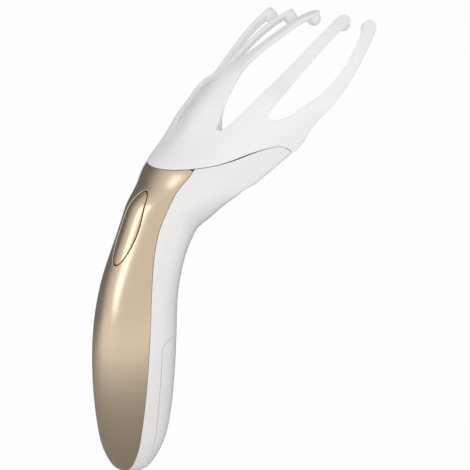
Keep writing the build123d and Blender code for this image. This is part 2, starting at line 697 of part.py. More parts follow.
with BuildPart() as switch_plunger:
    with BuildSketch(button_plane(PLUNGER_TOP, SWITCH_ALONG)):
        Circle(PLUNGER_RADIUS)
    extrude(amount=-(SWITCH_TOP - PLUNGER_TOP + PLUNGER_REACH))
    chamfer(switch_plunger.edges().filter_by(GeomType.CIRCLE).sort_by(Axis.X)[0], FIT_GAP)
finish(switch_plunger.part, "switch_plunger")


# ---------------------------------------------------------------- vibration motor
def motor_plane(along, depth=MOTOR_DEPTH):
    """Plane across the motor's axis; its local y points to the front of the body."""
    plane = button_plane(depth, along)
    return Plane(origin=plane.origin, x_dir=plane.y_dir, z_dir=plane.x_dir)


motor_end = MOTOR_BASE + MOTOR_LENGTH
sleeve_radius = MOTOR_RADIUS + SLEEVE_WALL

with BuildPart() as motor_can:
    with BuildSketch(motor_plane(MOTOR_BASE)):
        Circle(MOTOR_RADIUS)
    extrude(amount=MOTOR_LENGTH)
    fillet(motor_can.edges(), MOTOR_ROUND)
    with BuildSketch(motor_plane(motor_end)):
        Circle(WEIGHT_HUB)
    extrude(amount=WEIGHT_AT / 2)
    with BuildSketch(motor_plane(motor_end + WEIGHT_AT)):
        Circle(SHAFT_RADIUS + RUN_GAP)
    extrude(amount=-MOTOR_LENGTH / 2, mode=Mode.SUBTRACT)
finish(motor_can.part, "motor_can")

with BuildPart() as motor_shaft:
    with BuildSketch(motor_plane(motor_end + SHAFT_LENGTH)):
        Circle(SHAFT_RADIUS)
    extrude(amount=-(SHAFT_LENGTH + MOTOR_LENGTH / 2 - WEIGHT_AT * 2))
finish(motor_shaft.part, "motor_shaft")

with BuildPart() as eccentric_weight:
    with BuildSketch(motor_plane(motor_end + WEIGHT_AT)):
        Circle(WEIGHT_RADIUS)
        Rectangle(WEIGHT_RADIUS * 2, WEIGHT_RADIUS, align=(Align.CENTER, Align.MAX), mode=Mode.SUBTRACT)
        Circle(WEIGHT_HUB)
        Circle(SHAFT_RADIUS, mode=Mode.SUBTRACT)
    extrude(amount=WEIGHT_LENGTH)
finish(eccentric_weight.part, "eccentric_weight")

with BuildPart() as motor_sleeve:
    with BuildSketch(motor_plane(SLEEVE_BASE)):
        Circle(sleeve_radius)
        Circle(MOTOR_RADIUS, mode=Mode.SUBTRACT)
    extrude(amount=SLEEVE_LENGTH)
finish(motor_sleeve.part, "motor_sleeve")

clamp_radius = sleeve_radius + CLAMP_WALL
with BuildPart() as motor_cradle:
    with BuildSketch(motor_plane(CRADLE_BASE)):
        Rectangle((clamp_radius + CLAMP_EAR) * 2, TOOL, align=(Align.CENTER, Align.MAX))
        Circle(sleeve_radius, mode=Mode.SUBTRACT)
    extrude(amount=CRADLE_LENGTH)
    add(body_form(WALL, HOLLOW_FIRST, HOLLOW_LAST), mode=Mode.INTERSECT)
finish(motor_cradle.part, "motor_cradle")

with BuildPart() as motor_clamp:
    with BuildSketch(motor_plane(CRADLE_BASE)):
        Circle(clamp_radius)
        Rectangle(clamp_radius * 2, clamp_radius, align=(Align.CENTER, Align.MAX), mode=Mode.SUBTRACT)
        Rectangle((clamp_radius + CLAMP_EAR) * 2, CLAMP_WALL, align=(Align.CENTER, Align.MIN))
        Circle(sleeve_radius, mode=Mode.SUBTRACT)
    extrude(amount=CRADLE_LENGTH)
finish(motor_clamp.part, "motor_clamp")

# ---------------------------------------------------------------- cells, contacts, screws
for name, side in (("left", -1), ("right", 1)):
    cell_start = CELL_BASE if side < 0 else CELL_BASE + NUB_LENGTH
    nub_start = CELL_BASE + CELL_LENGTH if side < 0 else CELL_BASE
    place = (cell_offset, side * CELL_SPACING / 2)
    with BuildPart() as cell:
        with BuildSketch(Plane.XY.offset(cell_start - GRIP_HEIGHT)):
            with Locations(place):
                Circle(CELL_RADIUS)
        extrude(amount=CELL_LENGTH)
        fillet(cell.edges().filter_by(GeomType.CIRCLE), CELL_ROUND)
        with BuildSketch(Plane.XY.offset(nub_start - GRIP_HEIGHT)):
            with Locations(place):
                Circle(NUB_RADIUS)
        extrude(amount=NUB_LENGTH)
    finish(cell.part, f"cell_{name}")


def contact_form(height, upward, width):
    """Contact strip on an end wall of the bay, with a sprung arch for each cell in reach."""
    reach = (CONTACT_ROOM - CONTACT - RUN_GAP) * upward
    with BuildPart() as contact:
        with BuildSketch(Plane.XY.offset(height - GRIP_HEIGHT)):
            with Locations((cell_offset, 0)):
                Rectangle(CONTACT_SIZE, width)
        extrude(amount=CONTACT * upward)
        for side in (-1, 1):
            with BuildSketch(Plane.YZ.offset(cell_offset - CONTACT_ARCH / 2)):
                with BuildLine():
                    low = height - GRIP_HEIGHT + CONTACT / 2 * upward
                    middle = side * CELL_SPACING / 2
                    half = CONTACT_SIZE / 2 - CONTACT
                    ThreePointArc((middle - half, low), (middle, low + reach), (middle + half, low))
                trace(line_width=CONTACT)
            extrude(amount=CONTACT_ARCH)
        add(bay_room, mode=Mode.INTERSECT)
    return contact.part


finish(contact_form(bay_bottom, 1, CELL_SPACING + CONTACT_SIZE), "bridge_contact")
with BuildPart() as upper_contacts:
    add(contact_form(bay_top, -1, CELL_SPACING + CONTACT_SIZE))
    with BuildSketch(Plane.XY.offset(bay_top - GRIP_HEIGHT)):
        Rectangle(TOOL, CELL_SPACING - CONTACT_SIZE)
    extrude(amount=-CONTACT_ROOM, mode=Mode.SUBTRACT)
finish(upper_contacts.part, "upper_contacts")

with BuildPart() as case_screws:
    with BuildSketch(Plane.YZ.offset(BAY_FLOOR_AT + BAY_FLOOR)):
        with Locations(*screw_points):
            Circle(CASE_SCREW_RADIUS)
    extrude(amount=-CASE_SCREW_LENGTH)
    with BuildSketch(Plane.YZ.offset(BAY_FLOOR_AT + BAY_FLOOR)):
        with Locations(*screw_points):
            Circle(SCREW_HEAD_RADIUS)
    extrude(amount=SCREW_HEAD_HEIGHT)
finish(case_screws.part, "case_screws")
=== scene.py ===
"""Looks of a battery scalp massager: two handle shells with a lift-off battery door, a cupped
head with five beaded fingers, an oval power button and the parts inside the handle.

Skins are worked out in millimetres over a flat patch (row number along the body, angle round
it) and written to the meshes in metres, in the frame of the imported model."""

import logging
import math
from dataclasses import dataclass, field
from enum import Enum
from typing import Callable, Optional, Sequence

import bpy
import numpy as np
from mathutils import Matrix, Vector


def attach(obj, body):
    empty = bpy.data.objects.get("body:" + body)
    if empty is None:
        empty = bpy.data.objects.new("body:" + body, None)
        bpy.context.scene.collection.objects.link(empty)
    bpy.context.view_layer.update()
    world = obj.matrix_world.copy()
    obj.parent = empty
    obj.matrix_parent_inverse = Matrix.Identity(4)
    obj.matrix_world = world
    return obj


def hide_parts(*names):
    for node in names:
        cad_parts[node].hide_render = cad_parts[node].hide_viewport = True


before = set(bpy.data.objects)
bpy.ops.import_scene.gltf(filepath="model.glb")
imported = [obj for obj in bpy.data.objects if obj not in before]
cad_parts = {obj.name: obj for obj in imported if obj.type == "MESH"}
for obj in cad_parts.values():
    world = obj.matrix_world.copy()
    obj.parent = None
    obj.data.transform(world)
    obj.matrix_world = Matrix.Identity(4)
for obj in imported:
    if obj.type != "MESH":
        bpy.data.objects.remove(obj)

logging.basicConfig(level=logging.INFO, format="%(levelname)s %(message)s")
log = logging.getLogger("scalp_massager")

Array = np.ndarray
MM = 0.001
GRIP_HEIGHT = 60.0        # the origin, above the tip of the handle
PALM_LEAN = math.radians(48.0)
PALM_OFFSET = -1.3
RIM = 2.3                 # radius of the round rim of the palm
WALL = 2.0                # wall of the moulded shells
TINY = 1e-9               # below this a length or an angle counts as nothing
POLE_AREA = 1e-7          # a face with a smaller cross product of its tangents is at a pole
PATCH_STEP = 2e-4         # half width of central differences over the patch
LEAST_SLOPE = 0.2         # a margin flatter than this is taken as this steep
SNAP_SHARE = 0.28         # part of a cell by which grid corners move on to the outline
OUTSIDE = -10.0           # margin of places that are well outside an outline
MERGE_SCALE = 1e4         # corners are the same when they agree to 1 / this, in millimetres
DROP_SHARE = 0.48         # most of the wall that one of its two round edges may take
BUMP_DISTANCE = 0.00002   # depth of the grain in metres


# ------------------------------------------------------------------ numbers and curves
def smooth_step(x: Array) -> Array:
    """0 below 0, 1 above 1 and 3x^2 - 2x^3 between."""
    x = np.clip(x, 0.0, 1.0)
    return x * x * (3.0 - 2.0 * x)


def smooth_max(a: Array, b: Array, k: float) -> Array:
    """The larger of two values, with a fillet of size k where they are nearly equal."""
    h = np.clip(0.5 + 0.5 * (a - b) / k, 0.0, 1.0)
    return a * h + b * (1.0 - h) + k * h * (1.0 - h)


@dataclass(frozen=True)
class Spline:
    """Natural cubic spline through rows of values.

    Between two knots a distance h apart the value is the straight line between them plus
    (c^3 - c) h^2 / 6 times each end's second derivative, c being the share of that end; the
    second derivatives are those that make the slope run on at every knot."""
    knots: Array
    values: Array
    bends: Array

    @staticmethod
    def through(rows: Sequence[Sequence[float]], knots: Optional[Sequence[float]] = None) -> "Spline":
        """Lay the spline through rows.

        Args:
            rows: the values at each knot.
            knots: where the rows are; their numbers where it is left out.
        Returns:
            The spline.
        """
        y = np.asarray(rows, float)
        y = y[:, None] if y.ndim == 1 else y
        x = np.arange(len(y), dtype=float) if knots is None else np.asarray(knots, float)
        h = np.diff(x)
        slope = np.diff(y, axis=0) / h[:, None]
        system = np.eye(len(x))
        right = np.zeros_like(y)
        inner = np.arange(1, len(x) - 1)
        system[inner, inner - 1] = h[:-1] / 6.0
        system[inner, inner] = (h[:-1] + h[1:]) / 3.0
        system[inner, inner + 1] = h[1:] / 6.0
        right[1:-1] = slope[1:] - slope[:-1]
        return Spline(x, y, np.linalg.solve(system, right))

    def at(self, where: Array) -> Array:
        """Evaluate the spline.

        Args:
            where: the places asked for, in an array of any shape.
        Returns:
            The values there, with one more axis for the columns of the rows.
        """
        x = np.asarray(where, float)
        i = np.clip(np.searchsorted(self.knots, x, side="right") - 1, 0, len(self.knots) - 2)
        h = self.knots[i + 1] - self.knots[i]
        far = ((x - self.knots[i]) / h)[..., None]
        near = 1.0 - far
        h = h[..., None]
        bend = (near ** 3 - near) * self.bends[i] + (far ** 3 - far) * self.bends[i + 1]
        return near * self.values[i] + far * self.values[i + 1] + bend * h * h / 6.0


def palm_to_part(along: Array, arch: Array, side: Array) -> Array:
    """Points given in the palm's own leaning axes, in the frame of the part.

    Args:
        along: distance along the palm's axis.
        arch: distance behind that axis, negative in front of it.
        side: distance from the middle plane.
    Returns:
        The points, with one more axis for x, y and z.
    """
    s, c = math.sin(PALM_LEAN), math.cos(PALM_LEAN)
    return np.stack([along * s + arch * c + PALM_OFFSET, side + 0.0 * along,
                     along * c - arch * s - GRIP_HEIGHT], axis=-1)


def unit(v: Array) -> Array:
    """Vectors of length 1."""
    return v / np.maximum(np.linalg.norm(v, axis=-1, keepdims=True), 1e-12)


def dot(a: Array, b: Array) -> Array:
    """Row by row dot product, kept as a column."""
    return np.sum(a * b, axis=-1, keepdims=True)


def on_middle(a: Array) -> Array:
    """Whether angles lie on the middle plane, straight to the front or to the rear."""
    return np.abs(np.abs(a) - math.pi / 2) < TINY


def surface_gradient(xu: Array, xa: Array, fu: Array, fa: Array) -> tuple:
    """Gradient on a surface of a value known over the patch.

    The slopes of the value are multiplied by the inverse of the surface's first fundamental
    form, whose entries are the products of its two tangents.

    Args:
        xu: tangent along the rows.
        xa: tangent along the angles.
        fu: slope of the value along the rows.
        fa: slope of the value along the angles.
    Returns:
        The gradient in space, and its steps in row number and in angle.
    """
    ee, ff, gg = dot(xu, xu)[..., 0], dot(xu, xa)[..., 0], dot(xa, xa)[..., 0]
    det = np.maximum(ee * gg - ff * ff, TINY)
    step_u, step_a = (gg * fu - ff * fa) / det, (ee * fa - ff * fu) / det
    return xu * step_u[..., None] + xa * step_a[..., None], step_u, step_a


def grid_triangles(grid: Array) -> Array:
    """Two triangles for every cell of a grid of corner numbers."""
    a, b, c, d = grid[:-1, :-1], grid[:-1, 1:], grid[1:, 1:], grid[1:, :-1]
    return np.concatenate([np.stack([a, b, c], -1).reshape(-1, 3), np.stack([a, c, d], -1).reshape(-1, 3)])


# ------------------------------------------------------------------ the form of the body
# Height above the tip, offset to the rear, lean in degrees, depth to the front, depth to the
# rear (negative where the palm is hollow) and half of the width.
BODY_ROWS = (
    (0.05, -2.9, 0.0, 1.1, 1.1, 1.1), (1.2, -2.8, 0.0, 5.2, 5.2, 5.3),
    (4.0, -2.5, 0.0, 9.3, 9.3, 9.5), (12.0, -1.9, 0.0, 13.8, 13.8, 14.2),
    (22.0, -1.2, 0.0, 16.6, 16.6, 17.1), (38.0, -0.8, 0.0, 18.7, 18.7, 19.2),
    (56.0, -0.3, 0.5, 19.6, 19.6, 20.1), (70.0, 0.6, 2.0, 19.5, 19.5, 20.0),
    (80.0, 1.7, 5.0, 18.9, 18.9, 19.4), (90.0, 3.7, 9.0, 18.1, 18.1, 18.7),
    (99.0, 6.7, 14.0, 17.3, 17.3, 18.1), (108.0, 10.3, 20.0, 16.6, 16.6, 17.8),
    (115.4, 13.5, 23.3, 16.5, 17.2, 17.9), (122.1, 17.3, 27.0, 16.6, 17.6, 18.9),
    (126.8, 24.5, 35.0, 17.8, 14.7, 23.1), (131.4, 31.1, 41.0, 19.9, 11.3, 27.8),
    (134.8, 38.8, 45.0, 22.8, 7.2, 31.0), (138.5, 46.2, 48.0, 25.3, 1.0, 32.6),
    (143.3, 54.0, 48.0, 28.5, -8.5, 33.8), (148.5, 61.4, 48.0, 30.9, -20.0, 35.5),
    (154.3, 69.7, 48.0, 32.2, -26.2, 36.9), (162.3, 78.6, 48.0, 32.4, -27.2, 38.6),
)
PALM_ROWS_ON = (180.0, 192.0, 204.0, 216.0, 230.0)   # the patch runs on under the fingers
CAP_SHARE = 0.25          # share of the rear half that goes round the rim of the palm


class BodyForm:
    """The outer form of handle and palm over (row number, angle).

    A section lies in a plane that leans to the rear. Its front half is half an ellipse: depth
    times the sine of the angle to the front, width times its cosine to the side. The rear half
    is the same with the rear depth while that is positive. Where it is negative the side goes
    round a rim of radius RIM and back up a hollow half ellipse inside."""

    hollow_from: float = 12.0        # row from which the rear half may turn hollow
    hollow_run: float = 8.0          # rear depth over which it does
    lookup_rows: int = 1200          # fine rows that tie row numbers to the palm's axis
    measured_rows: int = 900         # fine rows that measure the way along the surface

    def __init__(self) -> None:
        """Lay the spline through the rows, with straight rows on under the fingers."""
        rows = [list(row) for row in BODY_ROWS]
        s, c = math.sin(PALM_LEAN), math.cos(PALM_LEAN)
        last = rows[-1]
        start = (last[1] - PALM_OFFSET) * s + last[0] * c
        for along in PALM_ROWS_ON:
            rows.append([last[0] + (along - start) * c, last[1] + (along - start) * s] + last[2:])
        self.rows = Spline.through(rows)
        fine = np.linspace(0.0, len(rows) - 1.0, self.lookup_rows)
        offset_height = self.rows.at(fine)
        self.fine = fine
        self.fine_along = (offset_height[:, 1] - PALM_OFFSET) * s + offset_height[:, 0] * c

    def along(self, u: Array) -> Array:
        """Distance along the palm's axis of the middle of a row."""
        return np.interp(u, self.fine, self.fine_along)

    def row_at(self, along: float) -> float:
        """Row number whose middle lies at a distance along the palm's axis."""
        return float(np.interp(along, self.fine_along, self.fine))

    def stations(self, first: float, last: float, step: float) -> Array:
        """Row numbers that lie about one step apart on the surface.

        Args:
            first: first row number.
            last: last row number.
            step: distance between rows where the surface is longest, in millimetres.
        Returns:
            The row numbers.
        """
        fine = np.linspace(first, last, self.measured_rows)
        runs = []
        for angle in (math.pi / 2, 0.0, -math.pi / 2):
            points = self.place(fine, np.full_like(fine, angle))
            runs.append(np.linalg.norm(np.diff(points, axis=0), axis=1))
        run = np.concatenate([[0.0], np.cumsum(np.max(runs, axis=0))])
        return np.interp(np.linspace(0.0, run[-1], int(run[-1] / step) + 2), run, fine)

    def section(self, u: Array, forward: Array, side: Array) -> Array:
        """Points of a leaning section in the frame of the part.

        Args:
            u: row number; below 0 the section shrinks to the pole at -1.
            forward: distance to the front in the section's plane.
            side: distance from the middle plane.
        Returns:
            The points.
        """
        row = self.rows.at(np.maximum(u, 0.0))
        lean = np.radians(row[..., 2])
        shrink = 1.0 + np.minimum(u, 0.0)
        p, q = -forward * shrink, side * shrink
        return np.stack([row[..., 1] + p * np.cos(lean), q,
                         row[..., 0] - GRIP_HEIGHT - p * np.sin(lean)], axis=-1)

    def place(self, u: Array, a: Array) -> Array:
        """Points of the outer form.

        Args:
            u: row number.
            a: angle in radians, a quarter turn in front, 0 at the side, negative behind.
        Returns:
            The points.
        """
        row = self.rows.at(np.maximum(u, 0.0))
        front, rear, width = row[..., 3], row[..., 4], row[..., 5]
        q = np.clip(-a / (math.pi / 2), 0.0, 1.0)
        turn = np.clip(q / CAP_SHARE, 0.0, 1.0) * math.pi
        up = np.clip((q - CAP_SHARE) / (1.0 - CAP_SHARE), 0.0, 1.0) * math.pi / 2
        capped = q < CAP_SHARE
        hollow_side = np.where(capped, width - RIM + RIM * np.cos(turn), (width - 2 * RIM) * np.cos(up))
        hollow_back = np.where(capped, RIM * np.sin(turn), np.minimum(rear, 0.0) * np.sin(up))
        full = np.where(u < self.hollow_from, 1.0, smooth_step(rear / self.hollow_run))
        back = full * np.maximum(rear, 0.0) * np.sin(-np.minimum(a, 0.0)) + (1.0 - full) * hollow_back
        side = full * width * np.cos(a) + (1.0 - full) * hollow_side
        forward = np.where(a >= 0.0, front * np.sin(a), -back)
        side = np.where(a >= 0.0, width * np.cos(a), side)
        return self.section(u, forward, np.where(on_middle(a), 0.0, side))


# ------------------------------------------------------------------ parting lines
@dataclass(frozen=True)
class PartingLines:
    """Lines along which the body is split, in the side view (offset, height above the tip)."""
    head_line: tuple = ((-30.0, 134.0), (17.0, 144.4), (36.5, 148.6), (56.0, 154.2), (63.0, 154.9),
                        (80.0, 155.6))
    head_end: tuple = ((68.0, 149.9), (89.4, 126.0))
    front_line: tuple = ((-8.2, -6.0), (-8.1, 19.0), (-6.8, 48.0), (-4.0, 81.8), (0.0, 104.8),
                         (6.3, 122.7), (14.7, 136.1), (27.0, 150.0))
    door_side: tuple = ((-0.9, -6.0), (-0.5, 20.0), (0.4, 47.0), (1.2, 61.0), (2.2, 75.0))
    door_top: tuple = ((-8.0, 58.6), (3.0, 64.8), (7.6, 66.8), (13.0, 68.6), (22.0, 70.4),
                       (32.0, 71.4))
    head_round: float = 5.0
    door_round: float = 2.6

    def front(self, p: Array) -> Array:
        """Distance behind the line between the front and the rear shell."""
        line = Spline.through([[x] for x, _ in self.front_line], [z for _, z in self.front_line])
        return p[..., 0] - line.at(p[..., 2] + GRIP_HEIGHT)[..., 0]

    def head(self, p: Array) -> Array:
        """Distance above the line between the handle and the head, which turns down at its end.

        Args:
            p: points in the frame of the part.
        Returns:
            The larger, with a fillet, of the height above the line and the distance past the
            straight end of it.
        """
        line = Spline.through([[z] for _, z in self.head_line], [x for x, _ in self.head_line])
        above = p[..., 2] + GRIP_HEIGHT - line.at(p[..., 0])[..., 0]
        (x0, z0), (x1, z1) = self.head_end
        length = math.hypot(x1 - x0, z1 - z0)
        beyond = ((p[..., 0] - x0) * (z0 - z1) + (p[..., 2] + GRIP_HEIGHT - z0) * (x1 - x0)) / length
        return smooth_max(above, beyond, self.head_round)

    def door(self, p: Array) -> Array:
        """Distance inside the outline of the battery door.

        Args:
            p: points in the frame of the part.
        Returns:
            The smaller, with a fillet, of the distances behind its side line and below its top.
        """
        side = Spline.through([[x] for x, _ in self.door_side], [z for _, z in self.door_side])
        top = Spline.through([[z] for _, z in self.door_top], [x for x, _ in self.door_top])
        behind = p[..., 0] - side.at(p[..., 2] + GRIP_HEIGHT)[..., 0]
        below = top.at(p[..., 0])[..., 0] - p[..., 2] - GRIP_HEIGHT
        return -smooth_max(-behind, -below, self.door_round)


@dataclass(frozen=True)
class LocalPlane:
    """A small plane on the body with its own directions up the handle and outwards."""
    centre: tuple
    lean: float
    faces_front: bool

    def axes(self) -> tuple:
        """The plane's own axes.

        Returns:
            Its origin, its direction up the handle and its direction outwards.
        """
        angle = math.radians(self.lean)
        sign = -1.0 if self.faces_front else 1.0
        up = np.array([math.sin(angle), 0.0, math.cos(angle)])
        out = sign * np.array([math.cos(angle), 0.0, -math.sin(angle)])
        return np.array([self.centre[0], 0.0, self.centre[1] - GRIP_HEIGHT]), up, out

    def local(self, p: Array) -> tuple:
        """Distances up the handle and outwards of points."""
        origin, up, out = self.axes()
        return (p - origin) @ up, (p - origin) @ out


BUTTON_PLANE = LocalPlane((-2.6, 118.3), 28.5, True)
CATCH_PLANE = LocalPlane((20.9, 82.0), 7.0, False)
LINES = PartingLines()
BODY = BodyForm()


# ------------------------------------------------------------------ skins with a thickness
@dataclass
class MeshData:
    """Corners in millimetres, faces and corner normals of a piece."""
    corners: Array
    faces: list
    normals: Array


@dataclass
class Skin:
    """A wall over one half (y >= 0) of the body, cut to an outline with round edges.

    Its functions take row numbers u, angles a, points p of the outer face and its normals:
    place gives the outer face, margin the distance inside the outline, inner the inner face,
    edge the radius of the edge, lip the inner end of the edge where that isn't the inner face,
    and crease a value that is zero where the inner face has a sharp bend."""
    place: Callable[[Array, Array], Array]
    margin: Callable[[Array, Array, Array], Array]
    inner: Callable[[Array, Array, Array, Array], Array]
    edge: Callable[[Array, Array, Array], Array]
    lip: Optional[Callable[[Array, Array, Array, Array], Array]] = None
    crease: Optional[Callable[[Array, Array, Array], Array]] = None

    def frame_at(self, u: Array, a: Array) -> dict:
        """What the outer face and its outline are like, by central differences over the patch.

        The distance to the outline is the margin divided by its slope on the surface.

        Args:
            u: row numbers.
            a: angles.
        Returns:
            Points, normals, distances inside the outline, directions inwards from it, and the
            steps on the patch that go one millimetre inwards.
        """
        h = PATCH_STEP
        points = self.place(u, a)
        near_u, far_u = self.place(u - h, a), self.place(u + h, a)
        near_a, far_a = self.place(u, a - h), self.place(u, a + h)
        xu, xa = (far_u - near_u) / (2 * h), (far_a - near_a) / (2 * h)
        normal = np.cross(xa, xu)
        at_pole = np.linalg.norm(normal, axis=1) < POLE_AREA
        normal[at_pole] = (0.0, 0.0, -1.0)
        normal = unit(normal)
        fu = (self.margin(u + h, a, far_u) - self.margin(u - h, a, near_u)) / (2 * h)
        fa = (self.margin(u, a + h, far_a) - self.margin(u, a - h, near_a)) / (2 * h)
        gradient, step_u, step_a = surface_gradient(xu, xa, fu, fa)
        slope = np.maximum(np.linalg.norm(gradient, axis=1), LEAST_SLOPE)
        return {"points": points, "normal": normal, "distance": self.margin(u, a, points) / slope,
                "inward": unit(gradient), "step": np.stack([step_u, step_a], 1) / slope[:, None]}


def cut_triangles(triangles: Array, value: Array, both: bool) -> tuple:
    """Cut triangles along the zero line of a value known at their corners.

    A side that the line crosses gets a new corner where the value, taken as straight along the
    side, is zero. What is left of a triangle on one side of the line is one or two triangles.

    Args:
        triangles: corner numbers, three a row.
        value: the value at each corner.
        both: keep the side below zero as well.
    Returns:
        The triangles, and for each new corner the two old ones and the share of the second.
    """
    sign = np.sign(np.where(np.abs(value) < TINY, 0.0, value)).astype(int)
    corner = sign[triangles]
    mixed = (corner > 0).any(1) & (corner < 0).any(1)
    whole = triangles[~mixed & (both | ~(corner < 0).any(1))]
    cut = triangles[mixed]
    following = np.roll(cut, -1, axis=1)
    crossing = sign[cut] * sign[following] < 0
    pairs = np.sort(np.stack([cut, following], -1), axis=-1)
    crossed = pairs[crossing]
    unique, back = np.unique(crossed, axis=0, return_inverse=True)
    numbers = np.full(cut.shape, -1)
    numbers[crossing] = len(value) + back.reshape(-1)
    kept = [whole]
    for side in ((1, -1) if both else (1,)):
        slots = np.empty((len(cut), 6), int)
        slots[:, 0::2] = np.where(sign[cut] * side >= 0, cut, -1)
        slots[:, 1::2] = numbers
        order = np.argsort(slots < 0, axis=1, kind="stable")
        slots = np.take_along_axis(slots, order, axis=1)
        count = (slots >= 0).sum(1)
        kept += [slots[count == 3][:, :3], slots[count == 4][:, :3], slots[count == 4][:, [0, 2, 3]]]
    share = value[unique[:, 0]] / (value[unique[:, 0]] - value[unique[:, 1]])
    return np.concatenate(kept), unique, share


def with_new_corners(uv: Array, pairs: Array, share: Array) -> Array:
    """Places on the patch, with the new corners' own added: first plus share times the rest."""
    return np.concatenate([uv, uv[pairs[:, 0]] + (uv[pairs[:, 1]] - uv[pairs[:, 0]]) * share[:, None]])


def skin_mesh(skin: Skin, rows: Array, angles: Array, cell: float, steps: int = 3) -> MeshData:
    """Mesh of a skin: the outer face, the inner face and the round edge between them.

    Corners of the grid that lie nearly on the cut are moved on to it first, so that no thin
    triangles are left. The patch is then cut where the distance to the outline equals the edge
    radius r. From there the edge goes on as rings: out by r sin(t) and down by r (1 - cos t),
    t from 0 to 90 degrees, on the outer and on the inner side. The half is then mirrored in y.

    Args:
        skin: the wall to build.
        rows: row numbers of the grid.
        angles: angles of the grid, in radians.
        cell: width of a grid cell in millimetres.
        steps: rings to each quarter turn of the edge.
    Returns:
        The closed mesh of both halves.
    """
    count = (len(rows), len(angles))
    uv = np.stack(np.meshgrid(rows, angles, indexing="ij"), -1).reshape(-1, 2)
    middle = on_middle(uv[:, 1])
    for _ in range(2):
        at = skin.frame_at(uv[:, 0], uv[:, 1])
        gap = at["distance"] - skin.edge(uv[:, 0], uv[:, 1], at["points"])
        near = (np.abs(gap) < SNAP_SHARE * cell) & (uv[:, 0] > rows[0]) & (uv[:, 0] < rows[-1])
        move = -gap[:, None] * at["step"]
        move[middle, 1] = 0.0
        inside = np.abs(uv[:, 1] + move[:, 1]) < math.pi / 2
        near &= inside | middle
        uv[near] += move[near]
    triangles = grid_triangles(np.arange(count[0] * count[1]).reshape(count))
    if skin.crease is not None:
        points = skin.place(uv[:, 0], uv[:, 1])
        value = skin.crease(uv[:, 0], uv[:, 1], points)
        triangles, pairs, share = cut_triangles(triangles, value, True)
        uv = with_new_corners(uv, pairs, share)
        near = np.concatenate([near, np.zeros(len(pairs), bool)])
    at = skin.frame_at(uv[:, 0], uv[:, 1])
    gap = at["distance"] - skin.edge(uv[:, 0], uv[:, 1], at["points"])
    gap[near] = 0.0
    triangles, pairs, share = cut_triangles(triangles, gap, False)
    uv = with_new_corners(uv, pairs, share)
    used, triangles = np.unique(triangles, return_inverse=True)
    return closed_wall(skin, uv[used], triangles.reshape(-1, 3), rows[0], steps)


def closed_wall(skin: Skin, uv: Array, triangles: Array, pole: float, steps: int) -> MeshData:
    """Close the outer face of a skin with its inner face and the rings between, and mirror.

    Args:
        skin: the wall to build.
        uv: row numbers and angles of the outer face's corners.
        triangles: corner numbers, three a row.
        pole: row number at which the patch closes in a point.
        steps: rings to each quarter turn of the edge.
    Returns:
        The closed mesh of both halves.
    """
    u, a = uv[:, 0], uv[:, 1]
    at = skin.frame_at(u, a)
    outer, normal = at["points"], at["normal"]
    middle = on_middle(a)
    outer[middle, 1] = 0.0
    normal[middle, 1] = 0.0
    inner = skin.inner(u, a, outer, normal)
    inner[middle, 1] = 0.0
    total = len(uv)
    edges = np.concatenate([triangles[:, [0, 1]], triangles[:, [1, 2]], triangles[:, [2, 0]]])
    keys = np.sort(edges, axis=1)
    _, first, times = np.unique(keys, axis=0, return_index=True, return_counts=True)
    border = edges[first[times == 1]]
    no_edge = middle[border].all(1) | (np.abs(u[border] - pole) < TINY).all(1)
    border = border[~no_edge]
    ring, local = np.unique(border, return_inverse=True)
    border = local.reshape(-1, 2)
    reach = -at["inward"][ring]
    reach[middle[ring], 1] = 0.0
    reach = unit(reach - normal[ring] * dot(reach, normal[ring]))
    radius = skin.edge(u[ring], a[ring], outer[ring])[:, None]
    if skin.lip is not None:
        inner[ring] = skin.lip(u[ring], a[ring], outer[ring], normal[ring])
        inner[ring[middle[ring]], 1] = 0.0
    through = inner[ring] - outer[ring]
    depth = np.linalg.norm(through, axis=1, keepdims=True)
    through = through / np.maximum(depth, TINY)
    drop = np.minimum(radius, DROP_SHARE * depth)
    turns = np.linspace(0.0, math.pi / 2, steps + 1)[1:]
    loops, loop_normals = [], []
    for t in turns:
        loops.append(outer[ring] + reach * radius * math.sin(t) + through * drop * (1 - math.cos(t)))
        loop_normals.append(unit(normal[ring] * math.cos(t) + reach * math.sin(t)))
    for t in turns[::-1]:
        loops.append(inner[ring] + reach * radius * math.sin(t) - through * drop * (1 - math.cos(t)))
        loop_normals.append(unit(through * math.cos(t) + reach * math.sin(t)))
    back_normal = inner_normals(skin, u, a, outer, normal)
    corners = [outer, inner] + loops
    normals = [normal, back_normal] + loop_normals
    faces = [triangles, triangles[:, ::-1] + total]
    between = [2 * total + k * len(ring) + np.arange(len(ring)) for k in range(len(loops))]
    numbers = [ring] + between + [ring + total]
    p, q = border[:, 0], border[:, 1]
    for lower, upper in zip(numbers[:-1], numbers[1:]):
        faces.append(np.stack([lower[q], lower[p], upper[p]], 1))
        faces.append(np.stack([lower[q], upper[p], upper[q]], 1))
    corners, normals, faces = np.concatenate(corners), np.concatenate(normals), np.concatenate(faces)
    flip = np.array([1.0, -1.0, 1.0])
    faces = np.concatenate([faces, faces[:, ::-1] + len(corners)])
    corners = np.concatenate([corners, corners * flip])
    normals = np.concatenate([normals, normals * flip])
    return merged(corners, faces, normals)


